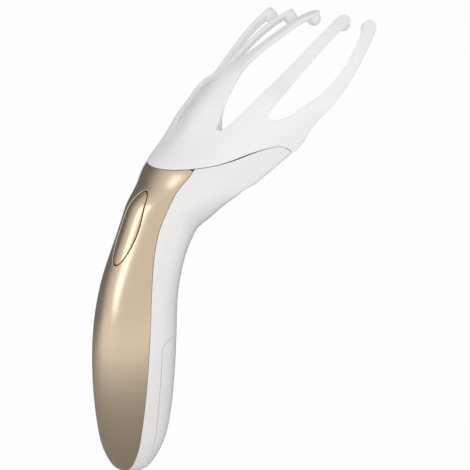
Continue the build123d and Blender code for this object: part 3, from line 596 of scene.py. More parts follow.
def inner_normals(skin: Skin, u: Array, a: Array, outer: Array, normal: Array) -> Array:
    """Normals of the inner face, which look away from the wall, by central differences.

    Args:
        skin: the wall.
        u: row numbers.
        a: angles.
        outer: points of the outer face, not used here.
        normal: its normals, turned round where the inner face has no clear direction.
    Returns:
        The normals.
    """
    h = 10 * PATCH_STEP

    def at(du: float, da: float) -> Array:
        """Inner points a little way off on the patch."""
        state = skin.frame_at(u + du, a + da)
        return skin.inner(u + du, a + da, state["points"], state["normal"])

    xu, xa = at(h, 0.0) - at(-h, 0.0), at(0.0, h) - at(0.0, -h)
    result = -unit(np.cross(xa, xu))
    wrong = ~(dot(result, normal)[:, 0] < 0.3)
    result[wrong] = -normal[wrong]
    result[on_middle(a), 1] = 0.0
    return unit(result)


def merged(corners: Array, faces: Array, normals: Array) -> MeshData:
    """Join corners that lie in one place and drop faces that have shrunk to an edge.

    Args:
        corners: corners in millimetres; they are the same within a ten-thousandth.
        faces: corner numbers, three a row.
        normals: normals of the corners; a joined corner gets the mean direction.
    Returns:
        The mesh.
    """
    keys = np.round(corners * MERGE_SCALE).astype(np.int64)
    _, first, back = np.unique(keys, axis=0, return_index=True, return_inverse=True)
    back = back.reshape(-1)
    joined = np.zeros((len(first), 3))
    np.add.at(joined, back, normals)
    faces = back[faces]
    good = (faces[:, 0] != faces[:, 1]) & (faces[:, 1] != faces[:, 2]) & (faces[:, 2] != faces[:, 0])
    return MeshData(corners[first], faces[good].tolist(), unit(joined))


def new_piece(name: str, data: MeshData, material: bpy.types.Material, body: str,
              replaces: Optional[str] = None) -> bpy.types.Object:
    """Make a scene object of mesh data and hand it to the frame.

    Args:
        name: name of the object.
        data: the mesh, in millimetres.
        material: its finish.
        body: CAD body that it rides on.
        replaces: CAD node that it stands for.
    Returns:
        The object.
    """
    mesh = bpy.data.meshes.new(name)
    mesh.from_pydata((data.corners * MM).tolist(), [], data.faces)
    mesh.polygons.foreach_set("use_smooth", [True] * len(mesh.polygons))
    mesh.validate()
    mesh.update()
    if len(data.normals) == len(mesh.vertices):
        mesh.normals_split_custom_set_from_vertices(data.normals.tolist())
    piece = bpy.data.objects.new(name, mesh)
    bpy.context.scene.collection.objects.link(piece)
    mesh.materials.append(material)
    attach(piece, body)
    if replaces:
        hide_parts(replaces)
    log.info("%s: %d corners, %d faces", name, len(mesh.vertices), len(mesh.polygons))
    return piece


# ------------------------------------------------------------------ finishes
class Grain(Enum):
    """How coarse the moulded or sprayed surface is."""
    FINE = 9000.0
    SATIN = 4200.0
    COARSE = 1500.0


def node_group(name: str, inputs: Sequence[tuple], outputs: Sequence[tuple]) -> bpy.types.NodeTree:
    """An empty shader group with named sockets.

    Args:
        name: name of the group.
        inputs: name, socket type and default value of each input.
        outputs: name and socket type of each output.
    Returns:
        The group.
    """
    group = bpy.data.node_groups.new(name, "ShaderNodeTree")
    for title, kind, value in inputs:
        socket = group.interface.new_socket(title, in_out="INPUT", socket_type=kind)
        socket.default_value = value
    for title, kind in outputs:
        group.interface.new_socket(title, in_out="OUTPUT", socket_type=kind)
    group.nodes.new("NodeGroupInput")
    group.nodes.new("NodeGroupOutput")
    return group


def grain_group() -> bpy.types.NodeTree:
    """Fine moulded grain: noise in object space gives a height and a small change of tone.

    The tone is one plus the tone input times broad noise less a half.

    Returns:
        The group.
    """
    group = node_group("moulded_grain",
                       [("Scale", "NodeSocketFloat", 4000.0), ("Tone", "NodeSocketFloat", 0.02)],
                       [("Height", "NodeSocketFloat"), ("Tone", "NodeSocketFloat")])
    nodes, links = group.nodes, group.links
    given, result = nodes["Group Input"], nodes["Group Output"]
    where = nodes.new("ShaderNodeTexCoord")
    fine = nodes.new("ShaderNodeTexNoise")
    fine.inputs["Detail"].default_value = 4.0
    broad = nodes.new("ShaderNodeTexNoise")
    broad.inputs["Scale"].default_value = 38.0
    spread = nodes.new("ShaderNodeMath")
    spread.operation = "MULTIPLY_ADD"
    spread.inputs[2].default_value = 1.0
    centre = nodes.new("ShaderNodeMath")
    centre.operation = "SUBTRACT"
    centre.inputs[1].default_value = 0.5
    links.new(where.outputs["Object"], fine.inputs["Vector"])
    links.new(where.outputs["Object"], broad.inputs["Vector"])
    links.new(given.outputs["Scale"], fine.inputs["Scale"])
    links.new(fine.outputs["Fac"], result.inputs["Height"])
    links.new(broad.outputs["Fac"], centre.inputs[0])
    links.new(centre.outputs[0], spread.inputs[0])
    links.new(given.outputs["Tone"], spread.inputs[1])
    links.new(spread.outputs[0], result.inputs["Tone"])
    return group


def wear_group() -> bpy.types.NodeTree:
    """Handling wear: high where edges are rubbed, from the local curvature times noise.

    Returns:
        The group.
    """
    group = node_group("edge_wear",
                       [("Amount", "NodeSocketFloat", 0.5)], [("Mask", "NodeSocketFloat")])
    nodes, links = group.nodes, group.links
    given, result = nodes["Group Input"], nodes["Group Output"]
    where = nodes.new("ShaderNodeTexCoord")
    shape = nodes.new("ShaderNodeNewGeometry")
    edge = nodes.new("ShaderNodeMapRange")
    edge.inputs["From Min"].default_value = 0.53
    edge.inputs["From Max"].default_value = 0.62
    noise = nodes.new("ShaderNodeTexNoise")
    noise.inputs["Scale"].default_value = 260.0
    noise.inputs["Detail"].default_value = 3.0
    product = nodes.new("ShaderNodeMath")
    product.operation = "MULTIPLY"
    final = nodes.new("ShaderNodeMath")
    final.operation = "MULTIPLY"
    final.use_clamp = True
    links.new(where.outputs["Object"], noise.inputs["Vector"])
    links.new(shape.outputs["Pointiness"], edge.inputs["Value"])
    links.new(edge.outputs["Result"], product.inputs[0])
    links.new(noise.outputs["Fac"], product.inputs[1])
    links.new(product.outputs[0], final.inputs[0])
    links.new(given.outputs["Amount"], final.inputs[1])
    links.new(final.outputs[0], result.inputs["Mask"])
    return group


@dataclass(frozen=True)
class Finish:
    """A procedural finish: base colour, gloss, coat and the strength of grain and wear."""
    name: str
    colour: tuple
    roughness: float
    metallic: float = 0.0
    coat: float = 0.0
    coat_roughness: float = 0.1
    specular: float = 0.5
    grain: Grain = Grain.FINE
    bump: float = 0.05
    tone: float = 0.02
    wear: float = 0.2
    worn: tuple = (0.9, 0.9, 0.9)

    def material(self, groups: dict) -> bpy.types.Material:
        """Build the material.

        Args:
            groups: the shared shader groups by name.
        Returns:
            The material.
        """
        material = bpy.data.materials.new(self.name)
        material.use_nodes = True
        nodes, links = material.node_tree.nodes, material.node_tree.links
        shader = nodes["Principled BSDF"]
        shader.inputs["Metallic"].default_value = self.metallic
        shader.inputs["Coat Weight"].default_value = self.coat
        shader.inputs["Coat Roughness"].default_value = self.coat_roughness
        shader.inputs["Specular IOR Level"].default_value = self.specular
        grain = nodes.new("ShaderNodeGroup")
        grain.node_tree = groups["grain"]
        grain.inputs["Scale"].default_value = self.grain.value
        grain.inputs["Tone"].default_value = self.tone
        wear = nodes.new("ShaderNodeGroup")
        wear.node_tree = groups["wear"]
        wear.inputs["Amount"].default_value = self.wear
        tint = nodes.new("ShaderNodeMix")
        tint.data_type = "RGBA"
        tint.blend_type = "MULTIPLY"
        tint.inputs["Factor"].default_value = 1.0
        tint.inputs["A"].default_value = (*self.colour, 1.0)
        rub = nodes.new("ShaderNodeMix")
        rub.data_type = "RGBA"
        rub.inputs["B"].default_value = (*self.worn, 1.0)
        rough = nodes.new("ShaderNodeMath")
        rough.operation = "MULTIPLY"
        rough.inputs[1].default_value = self.roughness
        bump = nodes.new("ShaderNodeBump")
        bump.inputs["Strength"].default_value = self.bump
        bump.inputs["Distance"].default_value = BUMP_DISTANCE
        links.new(grain.outputs["Tone"], tint.inputs["B"])
        links.new(tint.outputs["Result"], rub.inputs["A"])
        links.new(wear.outputs["Mask"], rub.inputs["Factor"])
        links.new(rub.outputs["Result"], shader.inputs["Base Color"])
        links.new(grain.outputs["Tone"], rough.inputs[0])
        links.new(rough.outputs[0], shader.inputs["Roughness"])
        links.new(grain.outputs["Height"], bump.inputs["Height"])
        links.new(bump.outputs["Normal"], shader.inputs["Normal"])
        return material


def srgb(r: int, g: int, b: int) -> tuple:
    """A colour in the linear values that shaders take.

    Args:
        r: red, 0 to 255.
        g: green.
        b: blue.
    Returns:
        The three linear values.
    """
    values = np.array([r, g, b]) / 255.0
    linear = np.where(values <= 0.04045, values / 12.92, ((values + 0.055) / 1.055) ** 2.4)
    return tuple(float(x) for x in linear)


FINISHES = (
    Finish("soft_white", srgb(242, 242, 240), 0.42, grain=Grain.SATIN, bump=0.10, tone=0.015),
    Finish("bead_white", srgb(242, 242, 240), 0.38, bump=0.05, tone=0.01),
    Finish("champagne", srgb(224, 203, 176), 0.27, metallic=1.0, coat=0.15, coat_roughness=0.2,
           bump=0.12, tone=0.03, wear=0.25, worn=srgb(232, 218, 196)),
    Finish("button_champagne", srgb(222, 201, 174), 0.25, metallic=1.0, coat=0.15, coat_roughness=0.2,
           bump=0.10, tone=0.03, wear=0.25, worn=srgb(232, 218, 196)),
    Finish("gloss_white", srgb(238, 236, 233), 0.18, coat=0.5, coat_roughness=0.06, bump=0.03, tone=0.012),
    Finish("door_white", srgb(238, 236, 233), 0.18, coat=0.5, coat_roughness=0.06, bump=0.03, tone=0.012),
    Finish("catch_white", srgb(234, 232, 228), 0.34, grain=Grain.SATIN, bump=0.10, tone=0.02),
    Finish("membrane", srgb(54, 52, 50), 0.62, grain=Grain.COARSE, bump=0.15, tone=0.10),
    Finish("board", srgb(26, 92, 58), 0.42, bump=0.08, tone=0.12),
    Finish("switch_black", srgb(30, 30, 32), 0.45, bump=0.10, tone=0.08),
    Finish("plunger_black", srgb(40, 40, 42), 0.38, bump=0.10, tone=0.08),
    Finish("motor_steel", srgb(176, 177, 180), 0.28, metallic=1.0, grain=Grain.SATIN, bump=0.12, tone=0.06),
    Finish("shaft_steel", srgb(200, 200, 202), 0.20, metallic=1.0, bump=0.06, tone=0.04),
    Finish("weight_brass", srgb(190, 152, 86), 0.30, metallic=1.0, bump=0.10, tone=0.06),
    Finish("sleeve_rubber", srgb(34, 34, 34), 0.75, grain=Grain.COARSE, bump=0.25, tone=0.12),
    Finish("inner_plastic", srgb(214, 212, 206), 0.50, grain=Grain.SATIN, bump=0.12, tone=0.03),
    Finish("cell_wrap", srgb(62, 74, 86), 0.30, coat=0.4, coat_roughness=0.15, bump=0.04, tone=0.06),
    Finish("contact_metal", srgb(206, 204, 198), 0.26, metallic=1.0, bump=0.06, tone=0.05),
    Finish("screw_steel", srgb(168, 168, 170), 0.32, metallic=1.0, bump=0.10, tone=0.06),
)


# ------------------------------------------------------------------ head
@dataclass(frozen=True)
class FingerLine:
    """Middle line of the outer face of one finger and its widths, along the palm's axis."""
    angle: float                      # where it starts on the palm, degrees from the side
    line: tuple                       # along, arch, side
    roll: tuple                       # along, roll of the face in degrees
    widths: tuple                     # along, width
    blend: tuple                      # from palm to finger between these
    end: float                        # where its tip ends

    def frame(self, along: Array) -> tuple:
        """The finger's own axes along its length.

        Args:
            along: distances along the palm's axis; past its ends the line runs on straight.
        Returns:
            Points of the middle line, directions across towards the rim and into the wall.
        """
        h = 0.05
        line = Spline.through([row[1:] for row in self.line], [row[0] for row in self.line])
        clipped = np.clip(along, self.line[0][0], self.line[-1][0])
        arch, side = np.moveaxis(line.at(clipped), -1, 0)
        slope = (line.at(clipped + h) - line.at(clipped - h)) / (2 * h)
        over = along - clipped
        middle = palm_to_part(along, arch + over * slope[..., 0], side + over * slope[..., 1])
        roll = np.radians(np.interp(along, *zip(*self.roll)))
        zero = np.zeros_like(along)
        base = palm_to_part(zero, zero, zero)

        def direction(t: Array, n: Array, y: Array) -> Array:
            """A direction given in the palm's own axes."""
            return unit(palm_to_part(t + zero, n + zero, y + zero) - base)

        tangent = direction(zero + 1.0, slope[..., 0], slope[..., 1])
        into = direction(zero, np.cos(roll), -np.sin(roll))
        into = unit(into - tangent * dot(into, tangent))
        across = direction(zero, np.sin(roll), np.cos(roll))
        across = unit(across - tangent * dot(across, tangent) - into * dot(across, into))
        return middle, across, into

    def width(self, along: Array) -> Array:
        """Width of the finger.

        Args:
            along: distances along the palm's axis.
        Returns:
            The widths there, in millimetres.
        """
        line = Spline.through([[w] for _, w in self.widths], [t for t, _ in self.widths])
        clipped = np.clip(along, self.widths[0][0], self.widths[-1][0])
        return line.at(clipped)[..., 0]


MIDDLE = FingerLine(
    angle=90.0,
    line=((145.0, -99.1, 0.0), (157.0, -99.4, 0.0), (167.0, -99.1, 0.0), (178.0, -97.0, 0.0),
          (188.5, -94.2, 0.0), (198.6, -91.5, 0.0), (208.0, -88.7, 0.0), (218.0, -85.3, 0.0),
          (226.0, -81.4, 0.0)),
    roll=((128.0, 0.0), (228.0, 0.0)),
    widths=((136.0, 33.0), (141.0, 29.5), (147.0, 25.6), (154.0, 21.4), (162.0, 17.6), (172.0, 12.6),
            (180.0, 8.9), (188.0, 7.2), (200.0, 6.8), (217.0, 6.7), (224.0, 7.2), (228.0, 7.2)),
    blend=(158.0, 178.0), end=229.4)
INNER = FingerLine(
    angle=45.0,
    line=((145.3, -89.0, 25.3), (157.2, -89.4, 26.3), (165.0, -88.6, 26.0), (176.0, -87.0, 24.9),
          (186.0, -85.9, 24.4), (200.0, -84.4, 24.1), (217.0, -81.7, 22.8), (226.0, -79.0, 21.3)),
    roll=((150.0, 43.0), (180.0, 36.0), (226.0, 36.0)),
    widths=((138.0, 16.0), (147.0, 12.6), (159.0, 10.5), (165.0, 9.4), (172.0, 8.4), (179.0, 8.0),
            (186.0, 7.7), (200.0, 7.0), (217.0, 6.8), (224.0, 7.3), (228.0, 7.3)),
    blend=(158.0, 180.0), end=229.4)
OUTER = FingerLine(
    angle=11.0,
    line=((157.0, -73.9, 36.1), (166.0, -73.2, 39.0), (173.0, -73.7, 41.6), (187.0, -73.9, 44.0),
          (200.0, -74.6, 44.1), (212.0, -75.8, 42.7), (220.0, -76.3, 40.6), (226.0, -76.6, 38.5)),
    roll=((157.0, 78.0), (168.0, 74.0), (185.0, 62.0), (226.0, 62.0)),
    widths=((150.0, 17.0), (157.0, 16.5), (166.0, 13.7), (173.0, 10.4), (181.0, 8.4), (187.0, 7.7),
            (194.0, 7.1), (216.0, 6.9), (223.0, 7.3), (228.0, 7.3)),
    blend=(160.0, 180.0), end=229.6)
FINGER_SET = (MIDDLE, INNER, OUTER)


@dataclass
class Head:
    """The palm with its five fingers, moulded in one piece, and the beads under their ends.

    A fade is a place and a run: the change starts or ends there and takes that run."""
    edge_radius: float = 1.25
    rim_radius: float = 2.1
    seam_radius: float = 0.35
    web_fillet: float = 6.5
    finger_thickness: float = 4.0
    root_thickness: float = 5.2
    root_fade: tuple = (186.0, 22.0)
    crown: float = 90.0           # the face of a finger drops by q^2 over this
    patch_radius: float = 35.0    # millimetres across a finger to a radian of the patch
    split: tuple = ((56.0, 10.0), (34.0, 9.0))   # degrees between middle, inner and outer finger
    valley: float = 1.7
    outer_valley: float = 0.6     # the outer valley's share of that depth
    valley_fade: tuple = (112.0, 28.0)
    valley_angles: tuple = (90.0, 45.0, 11.0)    # degrees of the three finger lines
    proud: float = 0.4            # how far the palm stands over the handle at the parting line
    proud_run: float = 16.0
    seam_gap: float = 0.12
    seam_blend: tuple = (1.5, 3.0)
    least_wall: float = 0.02      # share of the wall that is left where it ends at the line
    edge_share: float = 0.58      # wall left at the edges of the fingers
    edge_thinning: tuple = (0.5, 7.0)
    draft: tuple = (1.3, 1.5)     # how far the sides lean in, and how much more at the roots
    draft_fade: tuple = (174.0, 22.0)
    draft_run: float = 4.5
    least_gradient: float = 0.6
    rim_angle: float = 0.6        # degrees past the side of the palm at which its rim lies
    rim_scale: float = 32.0       # millimetres to a radian at the rim
    rim_wall: tuple = ((16.0, 10.0), (176.0, 14.0))   # where the full wall of the rim fades out
    rim_round: tuple = ((14.0, 10.0), (172.0, 14.0))  # where its round edge does
    lip_depth: float = 1.6
    lip_height: float = 3.0       # in seam radii
    lip_inside: float = 1.2
    bead_radius: float = 3.35
    bead_depth: float = 3.6
    bead_back: float = 3.6
    cell: float = 0.75
    angle_count: int = 82
    low_angle: float = -9.0
    first_row: float = 10.5
    last_along: float = 229.5
    palm_edge: tuple = ((-10.0, 158.0), (12.0, 161.0), (29.5, 157.6), (45.0, 147.0), (58.0, 137.2),
                        (70.0, 134.5), (90.0, 133.5))

    def palm(self, u: Array, a: Array) -> Array:
        """Outer face of the palm: the body form with shallow valleys between the fingers.

        The valley depth times sin^2 between two finger lines is taken off along the section.

        Args:
            u: row numbers.
            a: angles.
        Returns:
            The points.
        """
        degrees = np.degrees(a)
        along = BODY.along(u)
        middle, inner, outer = self.valley_angles
        fade = smooth_step((along - self.valley_fade[0]) / self.valley_fade[1])
        share = np.clip((middle - degrees) / (middle - inner), 0.0, 1.0)
        second = np.clip((inner - degrees) / (inner - outer), 0.0, 1.0)
        waves = np.sin(np.pi * share) ** 2 + self.outer_valley * np.sin(np.pi * second) ** 2
        depth = self.valley * fade * waves
        row = BODY.rows.at(u)
        depth = depth - self.proud * (1.0 - smooth_step(LINES.head(BODY.place(u, a)) / self.proud_run))
        front, width = row[..., 3] - depth, row[..., 5] - depth
        side = np.where(on_middle(a), 0.0, width * np.cos(a))
        return BODY.section(u, front * np.sin(a), side)

    def palm_inside(self, u: Array, a: Array) -> Array:
        """Inner face of the palm: the hollow half ellipse of the body form.

        Args:
            u: row numbers.
            a: angles; those behind the side are taken as the side.
        Returns:
            The points.
        """
        row = BODY.rows.at(u)
        b = np.maximum(a, 0.0)
        side = np.where(on_middle(a), 0.0, (row[..., 5] - 2 * RIM) * np.cos(b))
        return BODY.section(u, -row[..., 4] * np.sin(b), side)

    def shares(self, u: Array, a: Array) -> list:
        """How far each finger has taken over from the palm at a place on the patch.

        Args:
            u: row numbers.
            a: angles.
        Returns:
            The shares of the middle, the inner and the outer finger.
        """
        degrees, along = np.degrees(a), BODY.along(u)
        (high, high_run), (low, low_run) = self.split
        upper = smooth_step((degrees - high) / high_run)
        lower = smooth_step((low - degrees) / low_run)
        parts = (upper, (1.0 - upper) * (1.0 - lower), lower)
        return [part * smooth_step((along - finger.blend[0]) / (finger.blend[1] - finger.blend[0]))
                for part, finger in zip(parts, FINGER_SET)]

    def across(self, finger: FingerLine, a: Array) -> Array:
        """Distance from the middle line of a finger towards the rim, in millimetres."""
        return (math.radians(finger.angle) - a) * self.patch_radius

    def rim_share(self, u: Array, a: Array, fades: tuple) -> Array:
        """How much a place belongs to the palm's rim.

        Args:
            u: row numbers.
            a: angles.
            fades: the fade over degrees and the one along the palm.
        Returns:
            1 at the rim, 0 on the open palm and on the fingers.
        """
        (angle, angle_run), (end, end_run) = fades
        return smooth_step((angle - np.degrees(a)) / angle_run) * smooth_step((end - BODY.along(u)) / end_run)

    def place(self, u: Array, a: Array) -> Array:
        """Outer face: the palm, turned over into the crowned faces of the fingers.

        Args:
            u: row numbers.
            a: angles.
        Returns:
            The points: the palm plus each finger's share of the way from it to that finger.
        """
        result = self.palm(u, a)
        along = BODY.along(u)
        base = result.copy()
        for share, finger in zip(self.shares(u, a), FINGER_SET):
            middle, across, into = finger.frame(along)
            q = self.across(finger, a)[..., None]
            result = result + share[..., None] * (middle + across * q + into * q * q / self.crown - base)
        return result

    def inside(self, u: Array, a: Array) -> Array:
        """Inner face before it meets the parting line.

        It is made as the outer face is, a thickness deeper. Near the edges of the fingers it
        then comes nearer to the outer face, and moves inwards, so that their sides lean.

        Args:
            u: row numbers.
            a: angles.
        Returns:
            The points.
        """
        result = self.palm_inside(u, a)
        along = BODY.along(u)
        base = result.copy()
        root = smooth_step((self.root_fade[0] - along) / self.root_fade[1])
        thick = self.finger_thickness + (self.root_thickness - self.finger_thickness) * root
        for share, finger in zip(self.shares(u, a), FINGER_SET):
            middle, across, into = finger.frame(along)
            q = self.across(finger, a)[..., None]
            spot = middle + across * q + into * (q * q / self.crown + thick[..., None])
            result = result + share[..., None] * (spot - base)
        free = 1.0 - self.rim_share(u, a, self.rim_wall)
        outline = self.outline(u, a)
        edge = 1.0 - smooth_step((outline + self.edge_thinning[0]) / self.edge_thinning[1])
        thin = (1.0 - self.edge_share) * edge * free
        result = result + (self.place(u, a) - result) * thin[..., None]
        lean = self.draft[0] + self.draft[1] * smooth_step((self.draft_fade[0] - along) / self.draft_fade[1])
        draft = lean * (1.0 - smooth_step(outline / self.draft_run)) * free
        return result + self.inward(u, a) * draft[..., None]

    def inward(self, u: Array, a: Array) -> Array:
        """Direction on the outer face away from the nearest edge: the surface gradient of the
        distance to the outline, by central differences.

        Args:
            u: row numbers.
            a: angles.
        Returns:
            The directions, shorter than 1 where the gradient is small.
        """
        h = 5 * PATCH_STEP
        xu = (self.place(u + h, a) - self.place(u - h, a)) / (2 * h)
        xa = (self.place(u, a + h) - self.place(u, a - h)) / (2 * h)
        fu = (self.outline(u + h, a) - self.outline(u - h, a)) / (2 * h)
        fa = (self.outline(u, a + h) - self.outline(u, a - h)) / (2 * h)
        gradient, _, _ = surface_gradient(xu, xa, fu, fa)
        return gradient / np.maximum(np.linalg.norm(gradient, axis=-1, keepdims=True), self.least_gradient)

    def outline(self, u: Array, a: Array) -> Array:
        """Distance inside the outline of palm and fingers, with filleted webs.

        The palm ends at its far edge and at its rim. A finger is a strip with a round end. The
        largest of these distances is taken, with a fillet.

        Args:
            u: row numbers.
            a: angles.
        Returns:
            The distances, negative outside.
        """
        along, degrees = BODY.along(u), np.degrees(a)
        edge = Spline.through([[t] for _, t in self.palm_edge], [d for d, _ in self.palm_edge])
        rim = (degrees + self.rim_angle) * math.radians(1.0) * self.rim_scale
        result = np.minimum(edge.at(degrees)[..., 0] - along, rim)
        for finger in FINGER_SET:
            half = finger.width(along) / 2
            q = self.across(finger, a)
            start = finger.end - finger.width(np.full_like(along, finger.end)) / 2
            over = np.maximum(along - start, 0.0)
            result = smooth_max(result, half - np.sqrt(q * q + over * over), self.web_fillet)
        return result

    def margin(self, u: Array, a: Array, p: Array) -> Array:
        """Distance inside the outline and above the parting line."""
        return np.minimum(self.outline(u, a), LINES.head(p) - self.seam_gap)

    def edge(self, u: Array, a: Array, p: Array) -> Array:
        """Edge radius: small at the parting line, round at the rim, softer on the fingers.

        Args:
            u: row numbers.
            a: angles.
            p: points of the outer face.
        Returns:
            The radii.
        """
        free = self.edge_radius + (self.rim_radius - self.edge_radius) * self.rim_share(u, a, self.rim_round)
        lead, run = self.seam_blend
        seam = smooth_step((self.outline(u, a) - LINES.head(p) + lead) / run)
        return free + (self.seam_radius - free) * seam

    def inner(self, u: Array, a: Array, p: Array, normal: Array) -> Array:
        """Inner face, stopped at the parting line where it would go below it.

        Args:
            u: row numbers.
            a: angles.
            p: points of the outer face.
            normal: its normals, not needed here.
        Returns:
            The points.
        """
        full = self.inside(u, a)
        high, low = LINES.head(p) - self.seam_gap, LINES.head(full) - self.seam_gap
        stop = np.clip(high / np.maximum(high - low, 1e-6), self.least_wall, 1.0)
        share = np.where(low < 0.0, stop, 1.0)
        return p + (full - p) * share[:, None]

    def lip(self, u: Array, a: Array, p: Array, normal: Array) -> Array:
        """Inner end of the edge: along the parting line beside it, across the wall elsewhere.

        Args:
            u: row numbers.
            a: angles.
            p: points of the outer face.
            normal: its normals.
        Returns:
            The points.
        """
        across_wall = self.inner(u, a, p, normal)
        h = 0.01
        up = np.stack([LINES.head(p + np.array([h, 0, 0])) - LINES.head(p - np.array([h, 0, 0])),
                       np.zeros(len(p)),
                       LINES.head(p + np.array([0, 0, h])) - LINES.head(p - np.array([0, 0, h]))], -1)
        up = unit(up)
        level = unit(-normal + up * dot(normal, up))
        low = LINES.head(p) < self.lip_height * self.seam_radius
        beside = low & (self.outline(u, a) > self.lip_inside)
        return np.where(beside[:, None], p + level * self.lip_depth, across_wall)

    def crease(self, u: Array, a: Array, p: Array) -> Array:
        """Zero where the inner face meets the parting line."""
        return LINES.head(self.inside(u, a)) - self.seam_gap

    def build(self, finishes: dict) -> None:
        """Make the palm with its fingers, and the five beads.

        Args:
            finishes: materials by slot name.
        """
        skin = Skin(self.place, self.margin, self.inner, self.edge, self.lip, self.crease)
        rows = BODY.stations(self.first_row, BODY.row_at(self.last_along), self.cell)
        angles = np.linspace(math.radians(self.low_angle), math.pi / 2, self.angle_count)
        data = skin_mesh(skin, rows, angles, self.cell, steps=4)
        new_piece("palm_and_fingers", data, finishes["soft_white"], "handle", "claw_head")
        beaded = ((OUTER, -1), (INNER, -1), (MIDDLE, 1), (INNER, 1), (OUTER, 1))
        for number, (finger, side) in enumerate(beaded, 1):
            middle, _, into = finger.frame(np.array([finger.end - self.bead_back]))
            centre = (middle + into * self.bead_depth)[0] * (1.0, side, 1.0)
            new_piece(f"bead_{number}", ball(centre, self.bead_radius), finishes["bead_white"], "handle",
                      f"finger_bead_{number}")


def ball(centre: Array, radius: float, around: int = 48, up: int = 25) -> MeshData:
    """A round bead: radius times (cos t cos f, cos t sin f, sin t) about its centre.

    Args:
        centre: its centre.
        radius: its radius.
        around: corners in a ring.
        up: rings, with the two poles.
    Returns:
        The closed mesh.
    """
    rings, turns = np.linspace(-math.pi / 2, math.pi / 2, up), np.linspace(0, 2 * math.pi, around + 1)[:-1]
    t, f = np.meshgrid(rings, turns, indexing="ij")
    normal = np.stack([np.cos(t) * np.cos(f), np.cos(t) * np.sin(f), np.sin(t)], -1)
    normal[0], normal[-1] = (0.0, 0.0, -1.0), (0.0, 0.0, 1.0)
    grid = np.arange(up * around).reshape(up, around)
    a, b = grid[:-1], grid[1:]
    c, d = np.roll(b, -1, axis=1), np.roll(a, -1, axis=1)
    faces = np.concatenate([np.stack([a, d, c], -1).reshape(-1, 3), np.stack([a, c, b], -1).reshape(-1, 3)])
    points = normal.reshape(-1, 3)
    return merged(centre + radius * points, faces, points)


